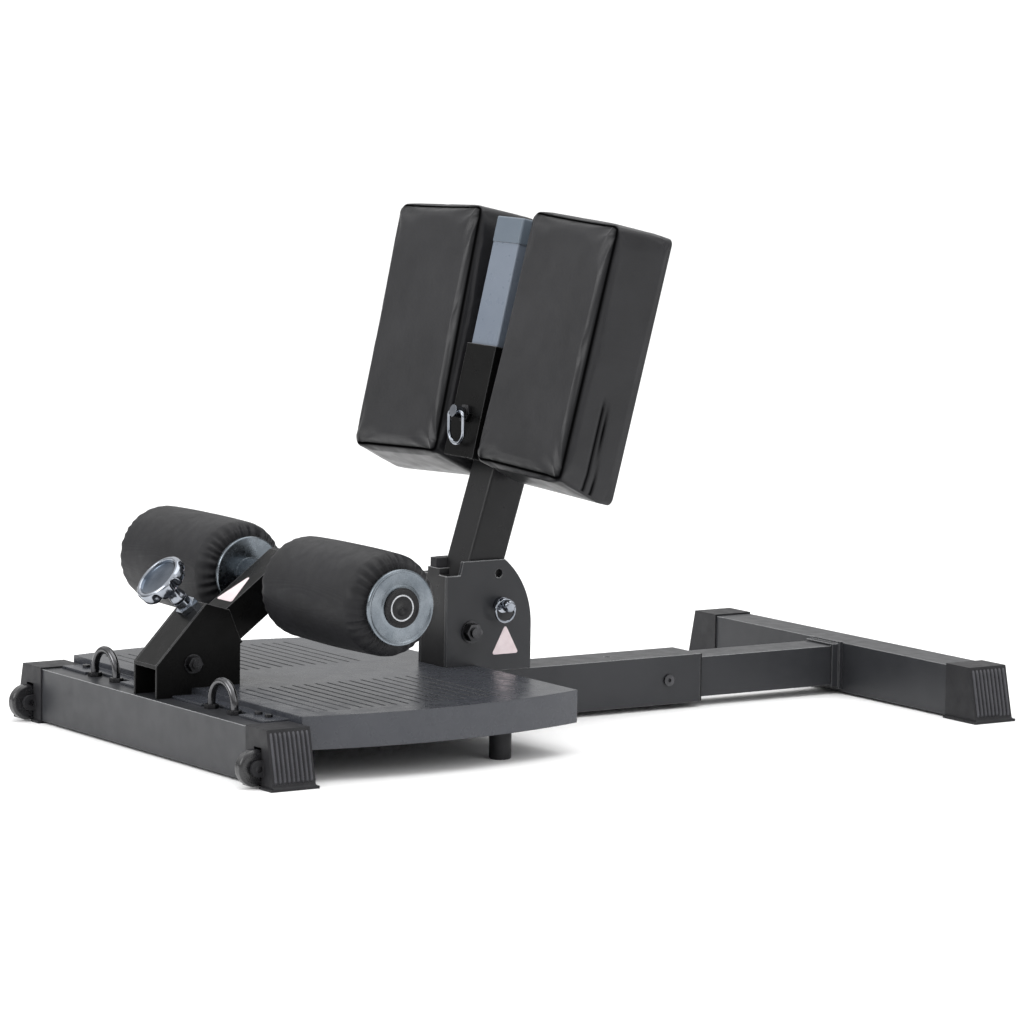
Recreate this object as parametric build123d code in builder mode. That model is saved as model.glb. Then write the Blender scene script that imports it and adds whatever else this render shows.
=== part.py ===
"""Adjustable leg-and-back training bench: a roman chair with ankle rollers, a platform and two tilted pads.

Millimetres. +X is the machine's right, +Y runs from the front crossbar to the rear one, +Z is up.
The origin is on the floor, at the middle of the whole machine's box.
"""

from build123d import *
from math import atan2, cos, degrees, radians, sin, sqrt, tan
import os

os.makedirs("parts", exist_ok=True)

# ---- Driving dimensions: base frame ---------------------------------------------------------
wheelbase = 956.0  # front face of the front crossbar to front face of the rear one
crossbar_height = 60.0
crossbar_depth = 50.0
crossbar_length = 466.0  # bare steel, between the two end caps
tube_wall = 2.5
cap_sole = 3.0  # rubber under the crossbar
cap_skin = 2.0  # rubber standing proud of the crossbar's front and back
cap_top_length = 44.0  # how far a cap reaches beyond the steel at its top
cap_flare = 14.0  # extra reach at the floor
cap_plug_length = 26.0
cap_lip = 3.0
rail_size = 58.0  # outer tube of the main rail
rail_centre_height = 35.5
rail_end = 744.0  # where the outer tube stops, measured from the front face
rail_overlap = 230.0  # inner rail tube inside the outer one
rail_bush_wall = 2.2
collar_length = 14.0
rear_flange = 5.0

# ---- Driving dimensions: transport wheels ---------------------------------------------------
wheel_radius = 20.0
wheel_width = 14.0
wheel_ahead = 7.5  # axle in front of the crossbar's face
wheel_floor_gap = 2.5
wheel_axle_radius = 4.0
wheel_side_gap = 1.0
wheel_tip_gap = 2.5
fork_ear = 5.0
fork_ear_radius = 9.0
running_gap = 0.05  # radial, pin in bore

# ---- Driving dimensions: foot platform ------------------------------------------------------
deck_top = 72.7
deck_sheet = 3.0
deck_front = 54.0
deck_rear = 424.0
deck_front_half = 257.0
deck_mid_half = 276.0
deck_rear_half = 240.0
deck_mid = 225.0  # where the deck is widest
deck_skirt = 37.0
deck_flange_front = 24.0
deck_corner = 8.0
groove_depth = 0.8
groove_width = 3.0
groove_length = 172.0
groove_inner = 62.0  # the plain strip down the middle is twice this wide
groove_pitch = 15.0
groove_first = 84.0
groove_count = 17
foot_radius = 12.5
foot_inset = 52.0
foot_from_front = 332.0

# ---- Driving dimensions: band hooks ---------------------------------------------------------
hook_rod = 9.0
hook_span = 50.0
hook_rise = 38.0
hook_across = 133.0
hook_back = 28.0
hook_below = 12.0

# ---- Driving dimensions: ankle arm ----------------------------------------------------------
arm_size = 40.0
arm_wall = 2.5
arm_slope = 36.3
arm_gap = 0.3
sleeve_wall = 2.5
house_plate = 3.0
house_front = 5.0
house_mouth = 37.5  # height of the open front end
house_top_slope = 46.4
house_top_run = 63.0
house_rear = 112.0
ankle_bolt_back = 51.0
ankle_bolt_up = 37.0  # above the crossbar
ankle_bolt_radius = 5.0
arm_start = 12.0
sleeve_end = 65.0
axle_reach = 145.0  # ankle bolt to roller axle
arm_tail = 26.0
arm_travel = 24.0
arm_hole_pitch = 12.0

# ---- Driving dimensions: rollers ------------------------------------------------------------
axle_radius = 12.5
axle_wall = 2.0
roller_radius = 58.6
roller_core_radius = 20.0
roller_length = 210.0
roller_inner = 57.0
roller_round = 20.0
flange_radius = 42.0
flange_thick = 6.0
flange_gap = 1.5
hub_radius = 18.0
badge_radius = 22.0
badge_thick = 3.0

# ---- Driving dimensions: spring plunger on the ankle housing --------------------------------
knob_radius = 28.5
knob_height = 17.0
knob_lobe = 6.0
knob_above_plate = 38.0
neck_radius = 8.0
barrel_radius = 9.0
barrel_above = 16.0
plunger_pin = 4.0
pin_tip_gap = 0.3  # spring pins stop this far from the tube they lock

# ---- Driving dimensions: tilting post -------------------------------------------------------
post_size = 48.0
post_tilt = 17.15
post_tilt_forward = 12.0
post_pivot_up = 112.0
post_foot = 20.0  # tube below the pivot
post_length = 226.0  # tube above the pivot
pivot_radius = 6.0
bracket_plate = 5.0
plate_seat = 3.0  # least width of a plate's seat on the rail
plate_foot = 3.0  # height of the turned-in foot that a narrow rail calls for
bracket_gap = 1.0
bracket_front = 384.0
bracket_rear = 500.0
bracket_top = 194.0
bracket_step_height = 178.0
bracket_step_depth = 22.0
bracket_flat_rear = 463.0
bracket_shoulder = 117.0  # height where the rear edge turns into the arc
web_thick = 3.0
web_gap = 1.17  # from the bracket's front web to the post's lower front corner
bumper_width = 16.0
bumper_height = 11.0
lock_pin_radius = 5.0
lock_pin_reach = 40.0  # pivot to lock pin, along the post
upright_tilt = 7.2
upright_reach = 70.2

# ---- Driving dimensions: pads ---------------------------------------------------------------
pad_tilt = 13.5
pad_origin_up = 314.9
pad_width = 175.0
pad_length = 293.0
pad_thick = 81.0
pad_splay = 2.4
pad_half_gap = 41.0
board_thick = 12.0
board_inset = 1.0
board_drop = 14.0  # the board reaches below the foam
pad_round = 14.0
column_width = 54.0
column_depth = 28.0
column_wall = 2.0
column_front = 11.0  # behind the pads' faces
column_start = 10.0
column_top = 253.0
column_cap = 30.0
head_wall = 2.7
head_gap = 0.3
head_length = 132.0
wedge_thin = 3.0625  # lower end of the wedge between the guide tube and the post
wedge_low = 4.0
backplate = 5.0
backplate_half = 190.0
backplate_drop = 2.0
backplate_slot_half = 32.0
backplate_bridge = 140.0
backplate_top = 268.0
backplate_round = 22.0
ring_radius = 15.0
ring_wire = 2.2
height_pin_up = 50.0

# ---- Derived places ---------------------------------------------------------------------------
wheel_front = -wheel_ahead - wheel_radius
machine_back = wheelbase + crossbar_depth + cap_skin + cap_lip
front_y = -(wheel_front + machine_back) / 2  # the front crossbar's front face
rear_y = front_y + wheelbase
crossbar_top = cap_sole + crossbar_height
rail_top = rail_centre_height + rail_size / 2
crossbar_middle = cap_sole + crossbar_height / 2
half_bar = crossbar_length / 2


def side(x):
    """Plane seen from the right: sketch x is +Y, sketch y is +Z."""
    return Plane.YZ.offset(x)


def across(y):
    """Upright plane across the machine: sketch x is +X, sketch y is +Z, extruding goes forward."""
    return Plane.XZ.offset(-y)


def save(piece, name):
    """Labels a finished solid and writes it."""
    piece.label = name
    export_step(piece, f"parts/{name}.step")


def save_both(piece, name):
    """Writes a right-hand piece and its mirror image as one group of two solids."""
    with BuildPart() as both:
        add(piece)
        add(mirror(piece, about=Plane.YZ))
    save(both.part, name)


def save_pair(piece, name):
    """Writes a right-hand piece and its mirror image on the left."""
    save(piece, f"{name}_right")
    with BuildPart() as left:
        add(mirror(piece, about=Plane.YZ))
    save(left.part, f"{name}_left")


# ---- Crossbars --------------------------------------------------------------------------------
bar_hollow_depth = crossbar_depth - 2 * tube_wall
bar_hollow_height = crossbar_height - 2 * tube_wall
hook_hole_radius = hook_rod / 2 + running_gap

with BuildPart() as front_crossbar:
    with BuildSketch(side(0)):
        with Locations((front_y + crossbar_depth / 2, crossbar_middle)):
            Rectangle(crossbar_depth, crossbar_height)
            Rectangle(bar_hollow_depth, bar_hollow_height, mode=Mode.SUBTRACT)
    extrude(amount=half_bar, both=True)
    with BuildSketch(Plane.XY.offset(crossbar_top)):
        for hook_side in (-1, 1):
            with Locations((hook_side * hook_across, front_y + hook_back)):
                with GridLocations(hook_span, 0, 2, 1):
                    Circle(hook_hole_radius)
    extrude(amount=-2 * tube_wall, mode=Mode.SUBTRACT)
save(front_crossbar.part, "front_crossbar")

with BuildPart() as rear_crossbar:
    with BuildSketch(side(0)):
        with Locations((rear_y + crossbar_depth / 2, crossbar_middle)):
            Rectangle(crossbar_depth, crossbar_height)
            Rectangle(bar_hollow_depth, bar_hollow_height, mode=Mode.SUBTRACT)
    extrude(amount=half_bar, both=True)
save(rear_crossbar.part, "rear_crossbar")


# ---- Rubber end caps --------------------------------------------------------------------------
cap_top = crossbar_top + cap_skin
cap_depth = crossbar_depth + 2 * cap_skin


def end_cap(bar_front, wheel_slot):
    """Flared block beyond the steel with a foot lip, a plug in the tube and, at the front, a wheel fork."""
    middle = bar_front + crossbar_depth / 2
    with BuildPart() as cap:
        with BuildSketch(across(middle)):
            with BuildLine():
                Polyline(
                    (half_bar, 0),
                    (half_bar + cap_top_length + cap_flare + cap_lip, 0),
                    (half_bar + cap_top_length + cap_flare + cap_lip, cap_lip),
                    (half_bar + cap_top_length + cap_flare, cap_lip + 2),
                    (half_bar + cap_top_length, cap_top),
                    (half_bar, cap_top),
                    close=True,
                )
            make_face()
        extrude(amount=cap_depth / 2, both=True)
        with BuildSketch(Plane.XY):
            with Locations((half_bar + (cap_top_length + cap_flare + cap_lip) / 2, middle)):
                Rectangle(cap_top_length + cap_flare + cap_lip, cap_depth + 2 * cap_lip)
        extrude(amount=cap_lip)
        with BuildSketch(side(half_bar)):
            with Locations((middle, crossbar_middle)):
                Rectangle(bar_hollow_depth, bar_hollow_height)
                Rectangle(bar_hollow_depth - 8, bar_hollow_height - 8, mode=Mode.SUBTRACT)
        extrude(amount=-cap_plug_length)
        if wheel_slot:
            with BuildSketch(side(wheel_x - wheel_width / 2 - wheel_side_gap - fork_ear)):
                with Locations((wheel_y, wheel_z)):
                    Circle(fork_ear_radius)
                with Locations((wheel_y + (bar_front - wheel_y) / 2 + cap_skin, wheel_z)):
                    Rectangle(bar_front - wheel_y + 2 * cap_skin, 2 * fork_ear_radius)
            extrude(amount=wheel_width + 2 * wheel_side_gap + 2 * fork_ear)
            with BuildSketch(side(wheel_x)):
                with Locations((wheel_y, wheel_z)):
                    Circle(wheel_radius + wheel_tip_gap)
                with Locations((wheel_y, 0)):
                    Rectangle(2 * (wheel_radius + wheel_tip_gap), 2 * wheel_z)
            extrude(amount=wheel_width / 2 + wheel_side_gap, both=True, mode=Mode.SUBTRACT)
            with BuildSketch(side(wheel_x)):
                with Locations((wheel_y, wheel_z)):
                    Circle(wheel_axle_radius)
            extrude(amount=axle_half, both=True, mode=Mode.SUBTRACT)
    return cap.part


wheel_x = half_bar + 26.0
wheel_y = front_y - wheel_ahead
wheel_z = wheel_radius + wheel_floor_gap
axle_half = wheel_width / 2 + wheel_side_gap + fork_ear

save_both(end_cap(front_y, True), "front_caps")
save_both(end_cap(rear_y, False), "rear_caps")

with BuildPart() as wheel:
    with BuildSketch(side(wheel_x)):
        with Locations((wheel_y, wheel_z)):
            Circle(wheel_radius)
            Circle(wheel_axle_radius + running_gap, mode=Mode.SUBTRACT)
    extrude(amount=wheel_width / 2, both=True)
    rim = wheel.edges().filter_by(GeomType.CIRCLE).group_by(SortBy.RADIUS)[-1]
    fillet(rim, radius=wheel_width / 4)
save_pair(wheel.part, "transport_wheel")

with BuildPart() as wheel_axle:
    with BuildSketch(side(wheel_x)):
        with Locations((wheel_y, wheel_z)):
            Circle(wheel_axle_radius)
    extrude(amount=axle_half, both=True)
save_both(wheel_axle.part, "wheel_axles")


# ---- Band hooks on the front crossbar -----------------------------------------------------------
hook_y = front_y + hook_back
hook_leg_bottom = crossbar_top - hook_below
hook_bend_height = crossbar_top + hook_rise - hook_rod / 2 - hook_span / 2

with BuildPart() as band_hook:
    with BuildLine():
        Line(
            (hook_across - hook_span / 2, hook_y, hook_leg_bottom),
            (hook_across - hook_span / 2, hook_y, hook_bend_height),
        )
        ThreePointArc(
            (hook_across - hook_span / 2, hook_y, hook_bend_height),
            (hook_across, hook_y, hook_bend_height + hook_span / 2),
            (hook_across + hook_span / 2, hook_y, hook_bend_height),
        )
        Line(
            (hook_across + hook_span / 2, hook_y, hook_bend_height),
            (hook_across + hook_span / 2, hook_y, hook_leg_bottom),
        )
    with BuildSketch(Plane.XY.offset(hook_leg_bottom)):
        with Locations((hook_across - hook_span / 2, hook_y)):
            Circle(hook_rod / 2)
    sweep()
save_both(band_hook.part, "band_hooks")

hook_nut_height = 5.0
hook_nut_radius = 8.0
with BuildPart() as band_hook_nuts:
    with BuildSketch(Plane.XY.offset(crossbar_top)):
        for hook_side in (-1, 1):
            with Locations((hook_side * hook_across, hook_y)):
                with GridLocations(hook_span, 0, 2, 1):
                    RegularPolygon(hook_nut_radius, 6)
                    Circle(hook_rod / 2, mode=Mode.SUBTRACT)
    extrude(amount=hook_nut_height)
save(band_hook_nuts.part, "band_hook_nuts")


# ---- Foot platform ------------------------------------------------------------------------------
arm_half = arm_size / 2
house_inner = arm_half + arm_gap + sleeve_wall
house_half = house_inner + house_plate
bracket_inner = post_size / 2 + bracket_gap
bracket_half = bracket_inner + bracket_plate
deck_bottom = deck_top - deck_sheet
deck_skirt_bottom = deck_top - deck_skirt
house_notch = 2 * (house_half + 1)
bracket_notch = 2 * (bracket_half + 1)
rail_notch = rail_size + 2

with BuildPart() as foot_platform:
    # A tray: straight front and rear edges, bowed sides, hollow underneath.
    for inset, tray_mode in ((0, Mode.ADD), (deck_sheet, Mode.SUBTRACT)):
        tray_front = front_y + deck_front + inset
        tray_rear = front_y + deck_rear - inset
        with BuildSketch(Plane.XY.offset(deck_skirt_bottom)):
            with BuildLine():
                Line((deck_front_half - inset, tray_front), (-deck_front_half + inset, tray_front))
                ThreePointArc(
                    (-deck_front_half + inset, tray_front),
                    (-deck_mid_half + inset, front_y + deck_mid),
                    (-deck_rear_half + inset, tray_rear),
                )
                Line((-deck_rear_half + inset, tray_rear), (deck_rear_half - inset, tray_rear))
                ThreePointArc(
                    (deck_rear_half - inset, tray_rear),
                    (deck_mid_half - inset, front_y + deck_mid),
                    (deck_front_half - inset, tray_front),
                )
            make_face()
        extrude(amount=deck_skirt - inset, mode=tray_mode)
    flange_back = deck_front + deck_sheet
    with BuildSketch(Plane.XY.offset(crossbar_top)):
        with Locations((0, front_y + (deck_flange_front + flange_back) / 2)):
            Rectangle(2 * deck_front_half, flange_back - deck_flange_front)
    extrude(amount=deck_sheet)
    with BuildSketch(Plane.XY.offset(crossbar_top)):
        with Locations((0, front_y + (deck_flange_front + deck_front) / 2)):
            Rectangle(house_notch, deck_front - deck_flange_front)
        for hook_side in (-1, 1):
            with Locations((hook_side * hook_across, front_y + deck_flange_front)):
                Rectangle(hook_span + 4 * hook_nut_radius, 2 * (hook_back + 10 - deck_flange_front))
        for end in (-1, 1):
            with Locations((end * deck_front_half, front_y + deck_flange_front)):
                Rectangle(2 * (deck_front_half - half_bar + 4), 2 * (deck_front - deck_flange_front))
    extrude(amount=deck_sheet, mode=Mode.SUBTRACT)
    with BuildSketch(Plane.XY.offset(deck_skirt_bottom)):
        with Locations((0, front_y + deck_rear)):
            Rectangle(bracket_notch, 2 * (deck_rear - bracket_front + 1))
    extrude(amount=deck_skirt, mode=Mode.SUBTRACT)
    with BuildSketch(Plane.XY.offset(deck_skirt_bottom)):
        with Locations((0, front_y + deck_front)):
            Rectangle(rail_notch, 4 * deck_sheet)
    extrude(amount=rail_top - deck_skirt_bottom, mode=Mode.SUBTRACT)
    with BuildSketch(Plane.XY.offset(deck_top)):
        for band in (-1, 1):
            for row in range(groove_count):
                row_y = front_y + groove_first + row * groove_pitch
                with Locations((band * (groove_inner + groove_length / 2), row_y)):
                    Rectangle(groove_length, groove_width)
    extrude(amount=-groove_depth, mode=Mode.SUBTRACT)
save(foot_platform.part, "foot_platform")

# Two steel strips carry the deck on the rail.
with BuildPart() as platform_bearers:
    with BuildSketch(Plane.XY.offset(rail_top)):
        for back in (deck_front + 70, bracket_front - 60):
            with Locations((0, front_y + back)):
                Rectangle(2 * (deck_mid_half - foot_inset - 20), 30)
    extrude(amount=deck_bottom - rail_top)
save(platform_bearers.part, "platform_bearers")

# A rubber foot under each side of the deck, on a moulded stem.
with BuildPart() as platform_foot:
    with BuildSketch(Plane.XY):
        with Locations((deck_mid_half - foot_inset, front_y + foot_from_front)):
            Circle(foot_radius)
    extrude(amount=deck_bottom)
    sole = platform_foot.faces().sort_by(Axis.Z)[0].edges()
    chamfer(sole, length=1.5)
save_both(platform_foot.part, "platform_feet")

screw_head_radius = 4.5
screw_head_height = 3.0
with BuildPart() as platform_screws:
    with BuildSketch(Plane.XY.offset(crossbar_top + deck_sheet)):
        for screw_x in (-206, -184, 184, 206):
            with Locations((screw_x, front_y + (hook_back + deck_front) / 2 + 2)):
                Circle(screw_head_radius)
    extrude(amount=screw_head_height)
save(platform_screws.part, "platform_screws")


# ---- Main rail ----------------------------------------------------------------------------------
rail_inner = rail_size - 2 * tube_wall - 2 * rail_bush_wall - 2 * arm_gap
rail_start = front_y + crossbar_depth
rail_outer_rear = front_y + rail_end
clamp_screw_radius = 5.0
clamp_screw_ahead = 46.0

with BuildPart() as rail_outer_tube:
    with BuildSketch(across(rail_outer_rear)):
        with Locations((0, rail_centre_height)):
            Rectangle(rail_size, rail_size)
            Rectangle(rail_size - 2 * tube_wall, rail_size - 2 * tube_wall, mode=Mode.SUBTRACT)
    extrude(amount=rail_outer_rear - rail_start)
    with BuildSketch(side(rail_size / 2)):
        with Locations((rail_outer_rear - clamp_screw_ahead, rail_centre_height)):
            Circle(clamp_screw_radius)
    extrude(amount=-2 * tube_wall, mode=Mode.SUBTRACT)
    with BuildSketch(Plane.XY.offset(rail_top)):
        with Locations((0, rail_outer_rear - 115)):
            Circle(4)
    extrude(amount=-2 * tube_wall, mode=Mode.SUBTRACT)
save(rail_outer_tube.part, "rail_outer_tube")

# Plastic bush that guides the inner tube, with a lip over the outer tube's mouth.
bush_outer = rail_size - 2 * tube_wall
bush_length = 120.0
with BuildPart() as rail_bush:
    with BuildSketch(across(rail_outer_rear)):
        with Locations((0, rail_centre_height)):
            Rectangle(bush_outer, bush_outer)
            Rectangle(rail_inner + 2 * arm_gap, rail_inner + 2 * arm_gap, mode=Mode.SUBTRACT)
    extrude(amount=bush_length)
    with BuildSketch(across(rail_outer_rear)):
        with Locations((0, rail_centre_height)):
            Rectangle(rail_size - 1, rail_size - 1)
            Rectangle(rail_inner + 2 * arm_gap, rail_inner + 2 * arm_gap, mode=Mode.SUBTRACT)
    extrude(amount=-2.5)
    with BuildSketch(side(rail_size / 2)):
        with Locations((rail_outer_rear - clamp_screw_ahead, rail_centre_height)):
            Circle(clamp_screw_radius)
    extrude(amount=-(rail_size / 2 - rail_inner / 2), mode=Mode.SUBTRACT)
save(rail_bush.part, "rail_bush")

# Clamp screw with a button head. Its tip bears on the inner tube's side.
with BuildPart() as rail_clamp_screw:
    with BuildSketch(side(rail_inner / 2 + arm_gap)):
        with Locations((rail_outer_rear - clamp_screw_ahead, rail_centre_height)):
            Circle(clamp_screw_radius)
    extrude(amount=rail_size / 2 - rail_inner / 2 - arm_gap)
    with BuildSketch(side(rail_size / 2)):
        with Locations((rail_outer_rear - clamp_screw_ahead, rail_centre_height)):
            Circle(clamp_screw_radius + 2)
            RegularPolygon(2.5, 6, mode=Mode.SUBTRACT)
    extrude(amount=2.5)
save(rail_clamp_screw.part, "rail_clamp_screw")

collar_front = rear_y - collar_length
rail_inner_front = rail_outer_rear - rail_overlap
with BuildPart() as rail_inner_tube:
    with BuildSketch(across(rear_y)):
        with Locations((0, rail_centre_height)):
            Rectangle(rail_inner, rail_inner)
            Rectangle(rail_inner - 2 * tube_wall, rail_inner - 2 * tube_wall, mode=Mode.SUBTRACT)
    extrude(amount=rear_y - rail_inner_front)
save(rail_inner_tube.part, "rail_inner_tube")

# Square collar on the rear crossbar that the inner tube is welded into.
with BuildPart() as rear_collar:
    with BuildSketch(across(rear_y)):
        with Locations((0, rail_centre_height)):
            Rectangle(rail_size, rail_size)
            Rectangle(rail_inner, rail_inner, mode=Mode.SUBTRACT)
    extrude(amount=rear_flange)
    with BuildSketch(across(rear_y - rear_flange)):
        with Locations((0, rail_centre_height)):
            Rectangle(rail_inner + 5, rail_inner + 5)
            Rectangle(rail_inner, rail_inner, mode=Mode.SUBTRACT)
    extrude(amount=collar_length - rear_flange)
save(rear_collar.part, "rear_collar")


# ---- Ankle housing ------------------------------------------------------------------------------
bolt_y = front_y + ankle_bolt_back
bolt_z = crossbar_top + ankle_bolt_up
arm_cos = cos(radians(arm_slope))
arm_sin = sin(radians(arm_slope))
top_slope = tan(radians(house_top_slope))
house_front_y = front_y + house_front
house_front_top = crossbar_top + house_mouth
house_peak_y = house_front_y + house_top_run
house_peak_z = house_front_top + house_top_run * top_slope


def along_arm(distance):
    """Plane square to the arm at a distance up it from the ankle bolt: sketch x is +X, y down and back."""
    origin = (0, bolt_y + distance * arm_cos, bolt_z + distance * arm_sin)
    return Plane(origin=origin, x_dir=(1, 0, 0), z_dir=(0, arm_cos, arm_sin))


# The side plates end just behind the guide sleeve, square to its top rear corner.
sleeve_half = arm_half + arm_gap + sleeve_wall
house_shoulder_y = bolt_y + sleeve_end * arm_cos - sleeve_half * arm_sin + 8
house_shoulder_z = bolt_z + sleeve_end * arm_sin + sleeve_half * arm_cos + 1
house_rear_y = front_y + house_rear
house_heel_z = bolt_z + 24

with BuildPart() as ankle_plate:
    with BuildSketch(side(house_inner)):
        with BuildLine():
            Polyline(
                (house_front_y, crossbar_top),
                (front_y + crossbar_depth, crossbar_top),
                (front_y + crossbar_depth, deck_top),
                (house_rear_y, deck_top),
                (house_rear_y, house_heel_z),
                (house_shoulder_y, house_shoulder_z),
                (house_peak_y, house_peak_z),
                (house_front_y, house_front_top),
                close=True,
            )
        make_face()
        with Locations((bolt_y, bolt_z)):
            Circle(ankle_bolt_radius, mode=Mode.SUBTRACT)
    extrude(amount=house_plate)
save_pair(ankle_plate.part, "ankle_side_plate")

# The plunger's axis is square to the housing's sloping top plate.
plunge_y = sin(radians(house_top_slope))
plunge_z = -cos(radians(house_top_slope))
plunger_foot_y = front_y + 60.2
plunger_foot_z = house_front_top + (plunger_foot_y - house_front_y) * top_slope


def plunger_plane(above):
    """Plane square to the plunger, a distance above the housing's top plate, facing down the pin."""
    origin = (0, plunger_foot_y - above * plunge_y, plunger_foot_z - above * plunge_z)
    return Plane(origin=origin, x_dir=(1, 0, 0), z_dir=(0, plunge_y, plunge_z))


with BuildPart() as ankle_top_plate:
    with BuildSketch(side(-house_inner)):
        drop_y = house_plate * plunge_y
        drop_z = house_plate * plunge_z
        with BuildLine():
            Polyline(
                (house_front_y, house_front_top),
                (house_peak_y, house_peak_z),
                (house_peak_y + drop_y, house_peak_z + drop_z),
                (house_front_y, house_front_top - house_plate / cos(radians(house_top_slope))),
                close=True,
            )
        make_face()
    extrude(amount=2 * house_inner)
    with BuildSketch(plunger_plane(1)):
        Circle(barrel_radius)
    extrude(amount=2 + 2 * house_plate, mode=Mode.SUBTRACT)
save(ankle_top_plate.part, "ankle_top_plate")

with BuildPart() as ankle_sleeve:
    with BuildSketch(along_arm(arm_start - 2)):
        Rectangle(2 * sleeve_half, 2 * sleeve_half)
        Rectangle(arm_size + 2 * arm_gap, arm_size + 2 * arm_gap, mode=Mode.SUBTRACT)
    extrude(amount=sleeve_end - arm_start + 2)
    with BuildSketch(plunger_plane(0)):
        Circle(plunger_pin + 1.5)
    extrude(amount=40, mode=Mode.SUBTRACT)
save(ankle_sleeve.part, "ankle_sleeve")

bolt_head_height = 6.0
washer_thick = 1.6
with BuildPart() as ankle_bolt:
    with BuildSketch(side(0)):
        with Locations((bolt_y, bolt_z)):
            Circle(ankle_bolt_radius)
    extrude(amount=house_half + washer_thick + bolt_head_height + 2, both=True)
    with BuildSketch(side(house_half + washer_thick)):
        with Locations((bolt_y, bolt_z)):
            RegularPolygon(9.2, 6)
    extrude(amount=bolt_head_height)
save(ankle_bolt.part, "ankle_bolt")


# ---- Ankle arm and its roller axle --------------------------------------------------------------
arm_end = axle_reach + arm_tail
axle_y = bolt_y + axle_reach * arm_cos
axle_z = bolt_z + axle_reach * arm_sin
outer_flange = roller_inner + roller_length + flange_gap
axle_half_length = outer_flange + flange_thick

# Where the plunger meets the arm's top face.
top_face_gap = (plunger_foot_z - bolt_z) * arm_cos - (plunger_foot_y - bolt_y) * arm_sin - arm_half
closing = plunge_y * arm_sin - plunge_z * arm_cos
plunger_drop = top_face_gap / closing
face_skew = radians(house_top_slope - arm_slope)


def arm_hole(back_along_arm):
    """Plane square to the plunger at the arm's top face, shifted down the arm."""
    shift = (0, -back_along_arm * arm_cos, -back_along_arm * arm_sin)
    plane = plunger_plane(-plunger_drop + 3)
    return Plane(
        origin=plane.origin + Vector(*shift), x_dir=plane.x_dir, z_dir=plane.z_dir
    )


with BuildPart() as ankle_arm_tube:
    with BuildSketch(along_arm(arm_start)):
        Rectangle(arm_size, arm_size)
        Rectangle(arm_size - 2 * arm_wall, arm_size - 2 * arm_wall, mode=Mode.SUBTRACT)
    extrude(amount=arm_end - arm_start)
    with BuildSketch(side(0)):
        with Locations((axle_y, axle_z)):
            Circle(axle_radius)
    extrude(amount=arm_size, both=True, mode=Mode.SUBTRACT)
    for step in range(round(arm_travel / arm_hole_pitch) + 1):
        with BuildSketch(arm_hole(step * arm_hole_pitch)):
            Circle(plunger_pin + 0.6)
        extrude(amount=3 + 3 * arm_wall, mode=Mode.SUBTRACT)
save(ankle_arm_tube.part, "ankle_arm_tube")

with BuildPart() as ankle_arm_cap:
    with BuildSketch(along_arm(arm_end)):
        RectangleRounded(arm_size, arm_size, 2)
    extrude(amount=3)
    with BuildSketch(along_arm(arm_end)):
        Rectangle(arm_size - 2 * arm_wall, arm_size - 2 * arm_wall)
    extrude(amount=-8)
save(ankle_arm_cap.part, "ankle_arm_cap")

with BuildPart() as roller_axle:
    with BuildSketch(side(0)):
        with Locations((axle_y, axle_z)):
            Circle(axle_radius)
            Circle(axle_radius - axle_wall, mode=Mode.SUBTRACT)
    extrude(amount=axle_half_length, both=True)
save(roller_axle.part, "roller_axle")


inner_flange = roller_inner - flange_gap - flange_thick
with BuildPart() as hub:
    with BuildSketch(side(arm_half)):
        with Locations((axle_y, axle_z)):
            Circle(hub_radius)
    extrude(amount=inner_flange - arm_half)
    with BuildSketch(side(inner_flange)):
        with Locations((axle_y, axle_z)):
            Circle(flange_radius)
    extrude(amount=flange_thick)
    fillet(hub.edges().filter_by(GeomType.CIRCLE).group_by(SortBy.RADIUS)[-1], radius=1.5)
    with BuildSketch(side(arm_half)):
        with Locations((axle_y, axle_z)):
            Circle(axle_radius)
    extrude(amount=roller_inner, mode=Mode.SUBTRACT)
save_both(hub.part, "flanged_hubs")

with BuildPart() as end_flange:
    with BuildSketch(side(outer_flange)):
        with Locations((axle_y, axle_z)):
            Circle(flange_radius)
            Circle(axle_radius, mode=Mode.SUBTRACT)
    extrude(amount=flange_thick)
    fillet(end_flange.edges().filter_by(GeomType.CIRCLE).group_by(SortBy.RADIUS)[-1], radius=1.5)
save_both(end_flange.part, "end_flanges")

with BuildPart() as badge:
    with BuildSketch(side(axle_half_length)):
        with Locations((axle_y, axle_z)):
            Circle(badge_radius)
    extrude(amount=badge_thick)
    fillet(badge.faces().sort_by(Axis.X)[-1].edges(), radius=1)
save_both(badge.part, "flange_badges")

with BuildPart() as roller_core:
    with BuildSketch(side(roller_inner)):
        with Locations((axle_y, axle_z)):
            Circle(roller_core_radius)
            Circle(axle_radius + 2 * running_gap, mode=Mode.SUBTRACT)
    extrude(amount=roller_length)
save_pair(roller_core.part, "roller_core")

with BuildPart() as roller_pad:
    with BuildSketch(side(roller_inner)):
        with Locations((axle_y, axle_z)):
            Circle(roller_radius)
            Circle(roller_core_radius, mode=Mode.SUBTRACT)
    extrude(amount=roller_length)
    pad_rims = roller_pad.edges().filter_by(GeomType.CIRCLE).group_by(SortBy.RADIUS)[-1]
    fillet(pad_rims, radius=roller_round)
save_pair(roller_pad.part, "roller_pad")


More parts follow.
